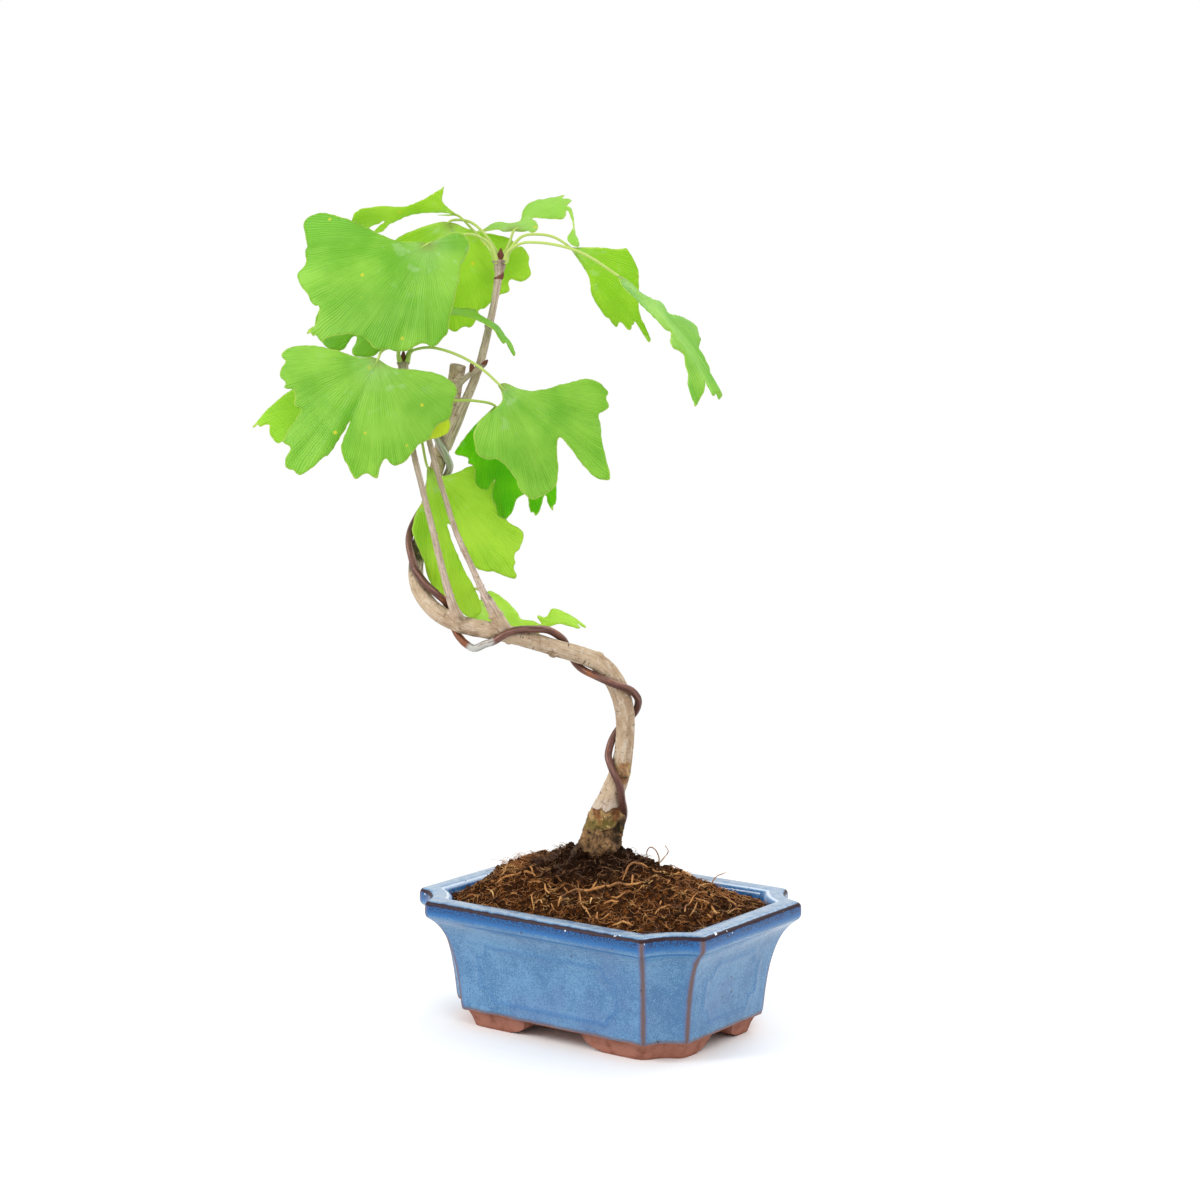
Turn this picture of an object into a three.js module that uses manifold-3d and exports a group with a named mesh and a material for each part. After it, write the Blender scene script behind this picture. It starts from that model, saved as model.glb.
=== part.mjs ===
// A young ginkgo trained as a bonsai: a wired S-shaped trunk with three twigs of fan-shaped leaves,
// planted in a glazed oblong pot with scooped corners. Millimetres, +Z up.
import * as THREE from 'three';
import { mergeVertices } from 'three/addons/utils/BufferGeometryUtils.js';
import Module from 'manifold-3d';

const wasm = await Module();
wasm.setup();

// Driving dimensions
const potLength = 150;        // over the lip, along X
const potWidth = 112;         // over the lip, along Y
const potHeight = 57;         // floor to rim
const footHeight = 7.5;       // floor to the underside of the bowl
const footChamfer = 0.8;
const floorThickness = 4.5;   // clay under the soil
const cornerNotch = 18;       // length that each scooped corner takes off a side, at the lip
const cornerScoop = 4;        // depth of the scoop below its chord
const drainRadius = 6;
const drainSpacing = 68;      // between the two drain holes
const clearance = 0.35;       // gap kept between pieces that touch
const treeTurn = THREE.MathUtils.degToRad(36);   // the tree's broad side against the pot's long side
const wireRadius = 1.6;
const bladeThickness = 0.7;
const petioleRadius = 0.8;

// ---------------------------------------------------------------- shared geometry helpers

// Closed body through rings of equal length, each listed anticlockwise about the direction of travel.
function loft(rings) {
  const count = rings[0].length;
  const positions = [];
  const indices = [];
  for (const ring of rings) {
    for (const point of ring) positions.push(point.x, point.y, point.z);
  }
  for (let k = 0; k < rings.length - 1; k += 1) {
    for (let i = 0; i < count; i += 1) {
      const a = k * count + i;
      const b = k * count + (i + 1) % count;
      indices.push(a, b, b + count, a, b + count, a + count);
    }
  }
  const first = positions.length / 3;
  for (const ring of [rings[0], rings[rings.length - 1]]) {
    const centre = ring.reduce((sum, point) => sum.add(point), new THREE.Vector3());
    centre.divideScalar(count);
    positions.push(centre.x, centre.y, centre.z);
  }
  const lastRing = (rings.length - 1) * count;
  for (let i = 0; i < count; i += 1) {
    const next = (i + 1) % count;
    indices.push(first, next, i);
    indices.push(first + 1, lastRing + i, lastRing + next);
  }
  const geometry = new THREE.BufferGeometry();
  geometry.setAttribute('position', new THREE.Float32BufferAttribute(positions, 3));
  geometry.setIndex(indices);
  return geometry;
}

// Smooth centre line through stations of [x, y, z, radius], with the radius read along it.
function stemLine(stations) {
  const curve = new THREE.CatmullRomCurve3(
    stations.map(([x, y, z]) => new THREE.Vector3(x, y, z)), false, 'centripetal');
  const radiusAt = (t) => {
    const place = t * (stations.length - 1);
    const index = Math.min(Math.floor(place), stations.length - 2);
    return THREE.MathUtils.lerp(stations[index][3], stations[index + 1][3], place - index);
  };
  return { curve, radiusAt };
}

// Round stem along a line, with its two ends flat. swell(angle, point) can vary the radius, and
// extra grows the whole stem, ends included.
function stem(line, { sides, steps, extra = 0, from = 0, to = 1, swell = () => 1 }) {
  const rings = [];
  let normal = null;
  for (let k = 0; k <= steps; k += 1) {
    const t = THREE.MathUtils.lerp(from, to, k / steps);
    const centre = line.curve.getPoint(t);
    const tangent = line.curve.getTangent(t);
    if (k === 0) centre.addScaledVector(tangent, -extra);
    if (k === steps) centre.addScaledVector(tangent, extra);
    if (!normal) {
      const guide = Math.abs(tangent.y) < 0.9 ? new THREE.Vector3(0, 1, 0) : new THREE.Vector3(1, 0, 0);
      normal = guide;
    }
    normal.addScaledVector(tangent, -normal.dot(tangent)).normalize();
    const binormal = new THREE.Vector3().crossVectors(tangent, normal);
    const ring = [];
    for (let i = 0; i < sides; i += 1) {
      const angle = 2 * Math.PI * i / sides;
      const radius = line.radiusAt(t) * swell(angle, centre) + extra;
      ring.push(centre.clone()
        .addScaledVector(normal, radius * Math.cos(angle))
        .addScaledVector(binormal, radius * Math.sin(angle)));
    }
    rings.push(ring);
  }
  return loft(rings);
}

function simpleStem(stations, sides, steps, extra = 0) {
  return stem(stemLine(stations), { sides, steps, extra });
}

function toSolid(geometry, matrix = new THREE.Matrix4()) {
  const bare = geometry.clone().applyMatrix4(matrix);
  bare.deleteAttribute('normal');
  bare.deleteAttribute('uv');
  const merged = mergeVertices(bare, 1e-4);
  return new wasm.Manifold(new wasm.Mesh({
    numProp: 3,
    vertProperties: merged.attributes.position.array,
    triVerts: new Uint32Array(merged.index.array),
  }));
}

function fromSolid(solid) {
  const mesh = solid.getMesh();
  const geometry = new THREE.BufferGeometry();
  geometry.setAttribute('position', new THREE.BufferAttribute(mesh.vertProperties, 3));
  geometry.setIndex(new THREE.BufferAttribute(mesh.triVerts, 1));
  return geometry;
}

function join(solids) {
  return solids.reduce((whole, solid) => whole.add(solid));
}

function piece(name, geometry, material) {
  const mesh = new THREE.Mesh(geometry, material);
  mesh.name = name;
  geometry.computeVertexNormals();
  return mesh;
}

// ---------------------------------------------------------------- materials

const glaze = new THREE.MeshStandardMaterial({ color: 0x4682b9, roughness: 0.18, metalness: 0 });
const peat = new THREE.MeshStandardMaterial({ color: 0x3c2314, roughness: 0.95, metalness: 0 });
const bark = new THREE.MeshStandardMaterial({ color: 0xb9a07d, roughness: 0.85, metalness: 0 });
const wireMetal = new THREE.MeshStandardMaterial({ color: 0x5a322d, roughness: 0.55, metalness: 0.6 });
const meshPlastic = new THREE.MeshStandardMaterial({ color: 0x202220, roughness: 0.6, metalness: 0 });
const leafGreen = new THREE.MeshStandardMaterial({ color: 0x7cc83c, roughness: 0.5, metalness: 0 });
const leafDeep = new THREE.MeshStandardMaterial({ color: 0x50aa14, roughness: 0.5, metalness: 0 });
const leafBright = new THREE.MeshStandardMaterial({ color: 0x9ccd2d, roughness: 0.5, metalness: 0 });

// ---------------------------------------------------------------- pot

// Oblong with scooped corners, anticlockwise. Each level of the pot is inset from the lip's oblong.
function potOutline(inset, height, notch, scoop, sideSpans = 1) {
  const halfX = potLength / 2 - inset;
  const halfY = potWidth / 2 - inset;
  const scoopSpans = 6;
  const corners = [[1, 1], [-1, 1], [-1, -1], [1, -1]];
  const points = [];
  corners.forEach(([signX, signY], corner) => {
    const onSide = new THREE.Vector3(signX * halfX, signY * (halfY - notch), height);
    const onEnd = new THREE.Vector3(signX * (halfX - notch), signY * halfY, height);
    const [start, end] = corner % 2 === 0 ? [onSide, onEnd] : [onEnd, onSide];
    for (let i = 0; i <= scoopSpans; i += 1) {
      const t = i / scoopSpans;
      const dip = 4 * t * (1 - t) * scoop * Math.SQRT1_2;
      points.push(new THREE.Vector3().lerpVectors(start, end, t)
        .add(new THREE.Vector3(-signX * dip, -signY * dip, 0)));
    }
    const [nextX, nextY] = corners[(corner + 1) % 4];
    const nextStart = corner % 2 === 0
      ? new THREE.Vector3(nextX * (halfX - notch), nextY * halfY, height)
      : new THREE.Vector3(nextX * halfX, nextY * (halfY - notch), height);
    for (let i = 1; i < sideSpans; i += 1) {
      points.push(new THREE.Vector3().lerpVectors(end, nextStart, i / sideSpans));
    }
  });
  return points;
}

// Outside of the bowl as [height, inset]: flaring wall, cavetto under the lip, rounded lip.
const wallProfile = [
  [footHeight, 14.2], [9, 13.8], [20, 12.6], [30, 11], [38, 8.8], [43, 6.6], [46.4, 4.2],
  [48.6, 1.8], [49.6, 0.6], [51, 0], [55.4, 0], [56.6, 0.7], [potHeight, 2],
];
const notchShrink = 0.36;     // the corners narrow with the wall towards the floor
const wallRings = wallProfile.map(([height, inset]) =>
  potOutline(inset, height, cornerNotch - notchShrink * inset, cornerScoop - 0.1 * inset));

// Inside of the bowl, from the soil's bed to just above the rim.
const bedHeight = footHeight + floorThickness;
const cavityProfile = [
  [bedHeight, 25], [bedHeight + 1, 22], [16, 19.4], [30, 16], [44, 13], [52, 11.6],
  [55.6, 10.8], [56.7, 10.1], [potHeight + 0.2, 9],
];
const cavityNotch = 14;
const cavityScoop = 1.5;
const cavityRings = cavityProfile.map(([height, inset]) =>
  potOutline(inset, height, cavityNotch, cavityScoop));

function wallInset(height) {
  const above = wallProfile.findIndex(([level]) => level >= height);
  const [z0, inset0] = wallProfile[above - 1];
  const [z1, inset1] = wallProfile[above];
  return THREE.MathUtils.mapLinear(height, z0, z1, inset0, inset1);
}

// Raised line of a clipped-corner panel on one wall. alongX tells a long side from a short one.
function panelBead(alongX, sign, halfSpan) {
  const bottom = 14;
  const top = 39;
  const clip = 6;
  const beadRadius = 0.9;
  const beadSink = 0.2;       // how far the bead's middle lies under the wall's surface
  const cornerSteps = 3;
  const route = [];
  const corners = [[1, 1], [-1, 1], [-1, -1], [1, -1]];
  corners.forEach(([u, v], corner) => {
    const height = v > 0 ? top : bottom;
    for (let i = 0; i <= cornerSteps; i += 1) {
      const turn = Math.PI / 2 * i / cornerSteps;
      const across = corner % 2 === 0 ? clip * Math.sin(turn) : clip * Math.cos(turn);
      const down = corner % 2 === 0 ? clip * Math.cos(turn) : clip * Math.sin(turn);
      route.push([u * (halfSpan - across), height - v * down]);
    }
  });
  const closedRoute = [...route, route[0]];
  const points = [];
  for (let i = 0; i < route.length; i += 1) {
    const [s0, z0] = closedRoute[i];
    const [s1, z1] = closedRoute[i + 1];
    const spans = Math.hypot(s1 - s0, z1 - z0) > 8 ? 4 : 1;
    for (let k = 0; k < spans; k += 1) {
      points.push([THREE.MathUtils.lerp(s0, s1, k / spans), THREE.MathUtils.lerp(z0, z1, k / spans)]);
    }
  }
  const sides = 4;
  const positions = [];
  const indices = [];
  points.forEach(([along, height], i) => {
    const [beforeS, beforeZ] = points[(i + points.length - 1) % points.length];
    const [afterS, afterZ] = points[(i + 1) % points.length];
    const travel = new THREE.Vector2(afterS - beforeS, afterZ - beforeZ).normalize();
    const halfWidth = (alongX ? potWidth : potLength) / 2;
    for (let k = 0; k < sides; k += 1) {
      const angle = 2 * Math.PI * k / sides;
      const inPlane = beadRadius * Math.cos(angle);
      const outward = beadRadius * Math.sin(angle);
      const s = along + inPlane * travel.y;
      const z = height - inPlane * travel.x;
      const wall = halfWidth - wallInset(height) + outward - beadSink;
      const place = alongX ? [-sign * s, sign * wall, z] : [sign * wall, sign * s, z];
      positions.push(...place);
    }
    for (let k = 0; k < sides; k += 1) {
      const a = i * sides + k;
      const b = i * sides + (k + 1) % sides;
      const c = ((i + 1) % points.length) * sides + (k + 1) % sides;
      const d = ((i + 1) % points.length) * sides + k;
      indices.push(a, c, b, a, d, c);
    }
  });
  const geometry = new THREE.BufferGeometry();
  geometry.setAttribute('position', new THREE.Float32BufferAttribute(positions, 3));
  geometry.setIndex(indices);
  return geometry;
}

// Ring of clay under the bowl, cut into four bracket feet.
function footRing() {
  const sunk = footHeight + 1;          // the ring runs a little way into the bowl
  const floorInset = 18.2;
  const bowlInset = 15.4;
  const footWall = 9;
  const footScoop = 2.6;
  const footNotch = cornerNotch - notchShrink * (floorInset + bowlInset) / 2;
  const ring = (inset, height) => potOutline(inset, height, footNotch, footScoop);
  const outer = toSolid(loft([
    ring(floorInset, 0), ring(floorInset - 0.6, footChamfer), ring(bowlInset, footHeight),
    ring(bowlInset, sunk),
  ]));
  const inner = toSolid(loft([
    ring(floorInset + footWall, -1), ring(bowlInset + footWall, footHeight),
    ring(bowlInset + footWall, sunk + 1),
  ]));
  const longSideArch = archCut(24, 15, true);
  const shortSideArch = archCut(15.5, 8, false);
  return outer.subtract(inner).subtract(longSideArch).subtract(shortSideArch);
}

// Cut between two feet: wide at the floor, narrowing to the bowl in a hollow curve.
function archCut(floorHalf, topHalf, alongX) {
  const curveSteps = 4;
  const side = [];
  for (let i = 0; i <= curveSteps; i += 1) {
    const turn = Math.PI / 2 * i / curveSteps;
    side.push([
      THREE.MathUtils.lerp(floorHalf, topHalf, Math.sin(turn)),
      footChamfer + (footHeight - footChamfer) * (1 - Math.cos(turn)),
    ]);
  }
  const profile = [[floorHalf, -1], ...side, [topHalf, footHeight + 2]];
  const shape = new THREE.Shape([
    ...profile.map(([x, z]) => new THREE.Vector2(x, z)),
    ...profile.reverse().map(([x, z]) => new THREE.Vector2(-x, z)),
  ]);
  const geometry = new THREE.ExtrudeGeometry(shape, { depth: 2 * potLength, bevelEnabled: false });
  geometry.translate(0, 0, -potLength);
  geometry.rotateX(Math.PI / 2);
  if (!alongX) geometry.rotateZ(Math.PI / 2);
  return toSolid(geometry);
}

function drainCut(x) {
  const geometry = new THREE.CylinderGeometry(drainRadius, drainRadius, 3 * floorThickness, 20);
  geometry.rotateX(Math.PI / 2);
  geometry.translate(x, 0, bedHeight - floorThickness / 2);
  return toSolid(geometry);
}

const drainPlaces = [-drainSpacing / 2, drainSpacing / 2];

function makePot() {
  const bowl = toSolid(loft(wallRings)).subtract(toSolid(loft(cavityRings)));
  const longPanel = potLength / 2 - 39;     // half lengths of the raised panels
  const shortPanel = potWidth / 2 - 36;
  const beads = [
    panelBead(true, 1, longPanel), panelBead(true, -1, longPanel),
    panelBead(false, 1, shortPanel), panelBead(false, -1, shortPanel),
  ];
  let pot = join([bowl, footRing(), ...beads.map((bead) => toSolid(bead))]);
  for (const x of drainPlaces) pot = pot.subtract(drainCut(x));
  return fromSolid(pot);
}

// ---------------------------------------------------------------- drain meshes

const meshSize = 20;
const meshThickness = 0.8;

// Square sheet of crossing bars.
function makeDrainMesh() {
  const cells = 3;
  const bar = 1.6;
  const pitch = (meshSize - bar) / cells;
  const bars = [];
  for (let i = 0; i <= cells; i += 1) {
    const place = i * pitch + bar / 2 - meshSize / 2;
    const across = new THREE.BoxGeometry(meshSize, bar, meshThickness);
    across.translate(0, place, meshThickness / 2);
    const down = new THREE.BoxGeometry(bar, meshSize, meshThickness);
    down.translate(place, 0, meshThickness / 2);
    bars.push(toSolid(across), toSolid(down));
  }
  return fromSolid(join(bars));
}

// ---------------------------------------------------------------- trunk and twigs

// Tree coordinates: x runs across the tree's broad side, y away from its face, z up.
const trunkStations = [
  [-5, 15, 44, 5.5], [-5, 15, 56, 9], [-4, 14, 66, 10.4], [-4, 13, 73, 9.2], [-3.5, 12, 79, 7.8],
  [-2, 11, 88, 6.4], [1, 10, 97.5, 5.2], [4.5, 9, 107, 4.7], [6.5, 8, 117, 4.1], [7.3, 7, 127, 4],
  [7, 6, 136, 4.2], [4.5, 5, 145.5, 4.3], [-0.2, 4, 153.5, 4.2], [-6, 3, 158.5, 3.9],
  [-23, 0, 164.5, 3.6], [-43, -4, 171, 3.8], [-62, -5, 175, 3.8], [-71, -4, 179, 3.7],
  [-77.5, -1, 184.5, 3.5], [-81.5, 3, 191, 3.3], [-82.5, 8, 198.5, 3.2], [-79, 15, 218, 3],
  [-74, 16, 239, 3.1], [-71, 15, 250, 3.4], [-68, 13, 261, 3.5], [-66, 11, 272.5, 3.3],
  [-64, 9, 284.5, 3.3],
];
const crownTwig = [
  [-70, 14, 249, 2.9], [-65, 11, 261, 2.9], [-61.5, 10, 269, 2.3], [-58.5, 9, 276.5, 2.2],
  [-55.5, 8, 286, 2], [-52, 7, 299.5, 2], [-49, 6, 312, 2], [-47, 5, 322.5, 2.1],
  [-45.6, 4, 326, 2.9], [-45.5, 4, 328.5, 3.6],
];
const leftTwig = [
  [-62.5, -4, 174, 3.2], [-66, -7, 183.5, 2.3], [-69, -9.5, 196, 1.9], [-72.5, -11, 213.5, 1.8],
  [-76.5, -11, 231, 1.7], [-81, -10, 247, 1.6], [-84, -9, 262, 1.6], [-85.5, -8, 277, 1.7],
  [-86, -8, 284, 2.4], [-86, -8, 286.5, 2.9],
];
const middleTwig = [
  [-43.5, -4, 171.5, 3.2], [-48.5, -7, 181.5, 2.5], [-50.5, -8, 186, 2.5], [-52, -8.5, 189, 1.9],
  [-57, -9, 201, 1.8], [-63.5, -9, 214, 1.7], [-68, -8, 228, 1.6], [-71.5, -7, 239.5, 1.6],
  [-74.5, -6, 250, 1.6], [-76.5, -5, 258.5, 1.7], [-77.5, -5, 263.5, 2.4], [-77.5, -5, 266, 2.9],
];
const sideShoot = [
  [-64, 8.5, 276, 1.4], [-59, 3.5, 280.5, 1.3], [-53, 0, 284.5, 1.2], [-51.5, -0.5, 285.5, 0.8],
];
const shootBud = [[-58, 3, 281, 0.9], [-57.8, 2, 284, 1.1], [-57.6, 1.5, 286.5, 0.5]];
const lowSpur = [[-51, -8, 187, 1.4], [-52, -5.5, 186.5, 1.4], [-53, -3.5, 186.5, 1.8]];
const barkFlap = [[-6, 9, 84, 2.2], [-9, 6, 79, 2.4], [-12, 4, 73, 2], [-14, 3, 67, 1.4]];
const branchScar = [[3.5, 8.5, 109, 3.4], [6, 6.5, 109.5, 3.6], [8.6, 5, 110, 2.8]];
const knots = [[-23.5, -1.5, 162, 2.2], [-57, -5.5, 172.5, 2], [-61.5, -6, 173, 1.9], [-32, -2, 166, 2.2]];
const buds = [
  [[-45.5, 4, 327, 1.2], [-45.5, 4, 330.5, 1.3], [-45.3, 4, 333.5, 0.5]],
  [[-48, 5.3, 320, 1.2], [-45.3, 4.2, 321.5, 1.2], [-44.4, 3.8, 323, 0.6]],
  [[-86, -8, 285, 1.1], [-86, -8, 288.5, 1.2], [-85.8, -8, 291, 0.5]],
  [[-77.5, -5, 264, 1], [-77.6, -5, 268, 1.1], [-77.6, -5, 270, 0.5]],
];

const trunkLine = stemLine(trunkStations);

// The foot of the trunk is ribbed by its roots and smooths out upwards.
function rootFlare(angle, point) {
  const fade = THREE.MathUtils.clamp((90 - point.z) / 18, 0, 1);
  return 1 + fade * (0.09 * Math.sin(3 * angle + 1) + 0.06 * Math.sin(5 * angle + 2));
}

function makeTrunk() {
  const wood = [
    stem(trunkLine, { sides: 10, steps: 64, swell: rootFlare }),
    simpleStem(crownTwig, 7, 20),
    simpleStem(leftTwig, 7, 17),
    simpleStem(middleTwig, 7, 20),
    simpleStem(sideShoot, 6, 5),
    simpleStem(shootBud, 5, 3),
    simpleStem(lowSpur, 6, 3),
    simpleStem(barkFlap, 5, 4),
    simpleStem(branchScar, 8, 3),
    ...buds.map((bud) => simpleStem(bud, 6, 4)),
  ];
  const lumps = knots.map(([x, y, z, radius]) => {
    const geometry = new THREE.IcosahedronGeometry(radius, 1);
    geometry.scale(1.3, 1, 1);
    geometry.translate(x, y, z);
    return geometry;
  });
  return fromSolid(join([...wood, ...lumps].map((geometry) => toSolid(geometry))));
}

// ---------------------------------------------------------------- training wire

// Route as [distance along the trunk line, turn about it in degrees, lift off the bark].
// Turn 0 is the tree's right or top side, 90 its face, 180 its left or under side.
const wireRoute = [
  [8, -60, 3.5], [20, -50, 1.8], [30, -35, 1], [38, -18, 0.6], [46.5, 0, 0.5], [56.5, 48, 0.1],
  [62.5, 79, 0], [70, 140, 0], [74, 174, 0.5], [79, 202, 0.3], [83, 228, 0], [88, 275, 0],
  [93, 322, 0.3], [97.5, 355, 0.6], [101.5, 385, 0.1], [105, 420, 0.2], [109, 455, 0.3],
  [114.5, 486, 0.4], [120, 515, 0.2], [126, 560, 0], [132, 625, 0], [138, 690, 0], [145.5, 726, 1],
  [151, 748, 0.6], [157, 770, 0.1], [162, 803, 0.2], [165.5, 842, 0.1], [169.5, 885, 0.5],
  [173.5, 893, 3], [177, 902, 2], [180, 920, 0.5], [184.5, 970, 0], [190.5, 1030, 0.1],
  [195, 1080, 0.4], [201, 1108, 0.6], [207.5, 1133, 0.1], [213, 1166, 0], [219, 1190, 0],
  [225, 1222, 0.1], [236, 1285, 0], [248, 1352, 0], [259.5, 1418, 0.3], [262.5, 1440, 0.3],
  [266, 1478, 0.1], [270, 1518, 0], [275, 1566, 0.1], [279, 1600, 0.3],
];

const trunkLength = trunkLine.curve.getLength();
trunkLine.curve.arcLengthDivisions = 600;
trunkLine.curve.updateArcLengths();

function besideTrunk([along, turn, lift]) {
  const fraction = Math.min(along / trunkLength, 1);
  const t = trunkLine.curve.getUtoTmapping(fraction);
  const centre = trunkLine.curve.getPoint(t);
  const tangent = trunkLine.curve.getTangent(t);
  const face = new THREE.Vector3(0, -1, 0);
  face.addScaledVector(tangent, -face.dot(tangent)).normalize();
  const right = new THREE.Vector3().crossVectors(tangent, face);
  const angle = THREE.MathUtils.degToRad(turn);
  const reach = trunkLine.radiusAt(t) + wireRadius + clearance + lift;
  return centre
    .addScaledVector(right, reach * Math.cos(angle))
    .addScaledVector(face, reach * Math.sin(angle));
}

// Extra route rows between the listed ones keep the wire round the bark where it turns fast.
function fineRoute(rows) {
  const fine = [];
  for (let i = 0; i < rows.length - 1; i += 1) {
    const spans = Math.abs(rows[i + 1][1] - rows[i][1]) > 45 ? 2 : 1;
    for (let k = 0; k < spans; k += 1) {
      fine.push(rows[i].map((value, n) => THREE.MathUtils.lerp(value, rows[i + 1][n], k / spans)));
    }
  }
  fine.push(rows[rows.length - 1]);
  return fine;
}

const wirePoints = fineRoute(wireRoute).map(besideTrunk);
const wireLine = stemLine(wirePoints.map((point) => [point.x, point.y, point.z, wireRadius]));

function makeWire() {
  return stem(wireLine, { sides: 8, steps: 72 });
}

// ---------------------------------------------------------------- soil

const turnTree = new THREE.Matrix4().makeRotationZ(treeTurn);
const trunkFoot = new THREE.Vector3(-4, 14, 0).applyMatrix4(turnTree);
const soilEdge = 54.4;        // soil level along the pot's wall
const moundRise = 16.5;         // how far the mound at the trunk stands above that

function soilHeight(x, y) {
  const edgeX = potLength / 2 - 11;
  const edgeY = potWidth / 2 - 11;
  const edge = Math.min(1, (x / edgeX) ** 4 + (y / edgeY) ** 4);
  const away = ((x - trunkFoot.x) / 58) ** 2 + ((y - trunkFoot.y) / 42) ** 2;
  const lumps = 0.8 * Math.sin(0.31 * x + 1.3) * Math.cos(0.27 * y) + 0.6 * Math.sin(0.53 * x - 0.41 * y)
    + 0.5 * Math.cos(0.72 * y + 0.23 * x);
  return soilEdge + (moundRise * Math.exp(-0.9 * away) + lumps) * (1 - edge * edge);
}

// Thicker roots lying on the soil, in tree coordinates.
const surfaceRoots = [
  [[-21, -29], [-15, -14], [-10, -7], [6, 0], [16, 3]],
  [[-46, 0], [-42, 9], [-36, 17], [-31, 13]],
  [[-1, -22], [6, -21], [13, -27]],
  [[8, 27], [14, 29], [19, 17], [28, 12], [35, 5]],
  [[-13, 10], [-12, -12], [-12, -38]],
  [[39, 5], [35, -8], [32, -32]],
  [[33, 0], [40, -1], [45, -17]],
];

function makeRoot(route) {
  const rootRadius = 1;
  const line = new THREE.CatmullRomCurve3(route.map(([x, y]) => new THREE.Vector3(x, y, 0)));
  const steps = 2 * route.length - 1;
  const stations = [];
  for (let i = 0; i <= steps; i += 1) {
    const place = line.getPoint(i / steps).applyMatrix4(turnTree);
    const taper = i === 0 || i === steps ? 0.5 : 1;
    const lie = i === 0 || i === steps ? -0.6 : 0.3;
    stations.push([place.x, place.y, soilHeight(place.x, place.y) + lie, rootRadius * taper]);
  }
  return simpleStem(stations, 5, steps);
}

function makeSoil() {
  const sideSpans = 5;
  const levels = [...cavityProfile.filter(([height]) => height < soilEdge), [soilEdge, 11.1]];
  const rings = levels.map(([height, inset], i) => {
    const level = i === levels.length - 1 ? height : height + clearance;
    return potOutline(inset + clearance, level, cavityNotch, cavityScoop, sideSpans);
  });
  const edge = rings[rings.length - 1];
  for (const share of [0.95, 0.86, 0.75, 0.63, 0.5, 0.37, 0.24]) {
    rings.push(edge.map((point) => {
      const x = THREE.MathUtils.lerp(trunkFoot.x, point.x, share);
      const y = THREE.MathUtils.lerp(trunkFoot.y, point.y, share);
      return new THREE.Vector3(x, y, soilHeight(x, y));
    }));
  }
  let soil = join([loft(rings), ...surfaceRoots.map(makeRoot)].map((geometry) => toSolid(geometry)));
  const buriedShare = 0.22;
  const stump = stem(trunkLine, {
    sides: 10, steps: 18, extra: clearance, to: buriedShare, swell: rootFlare,
  });
  const flap = simpleStem(barkFlap, 5, 4, clearance);
  const wireTail = stem(wireLine, { sides: 8, steps: 9, extra: clearance, to: 0.125 });
  for (const buried of [stump, flap, wireTail]) soil = soil.subtract(toSolid(buried, turnTree));
  for (const x of drainPlaces) {
    const recess = new THREE.BoxGeometry(
      meshSize + 2 * clearance, meshSize + 2 * clearance, 2 * (meshThickness + 2 * clearance));
    recess.translate(x, 0, bedHeight);
    soil = soil.subtract(toSolid(recess));
  }
  // A crumb that the stump cuts off is left out.
  const [whole] = soil.decompose().sort((one, other) => other.volume() - one.volume());
  return fromSolid(whole);
}

// ---------------------------------------------------------------- leaves

// Each twig ends in a short spur whose flat top carries the petioles in a ring round its bud.
const spurs = {
  crown: { top: new THREE.Vector3(-45.5, 4, 328.5), ring: 2.6 },
  left: { top: new THREE.Vector3(-86, -8, 286.5), ring: 2.1 },
  middle: { top: new THREE.Vector3(-77.5, -5, 266), ring: 2.1 },
};

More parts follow.
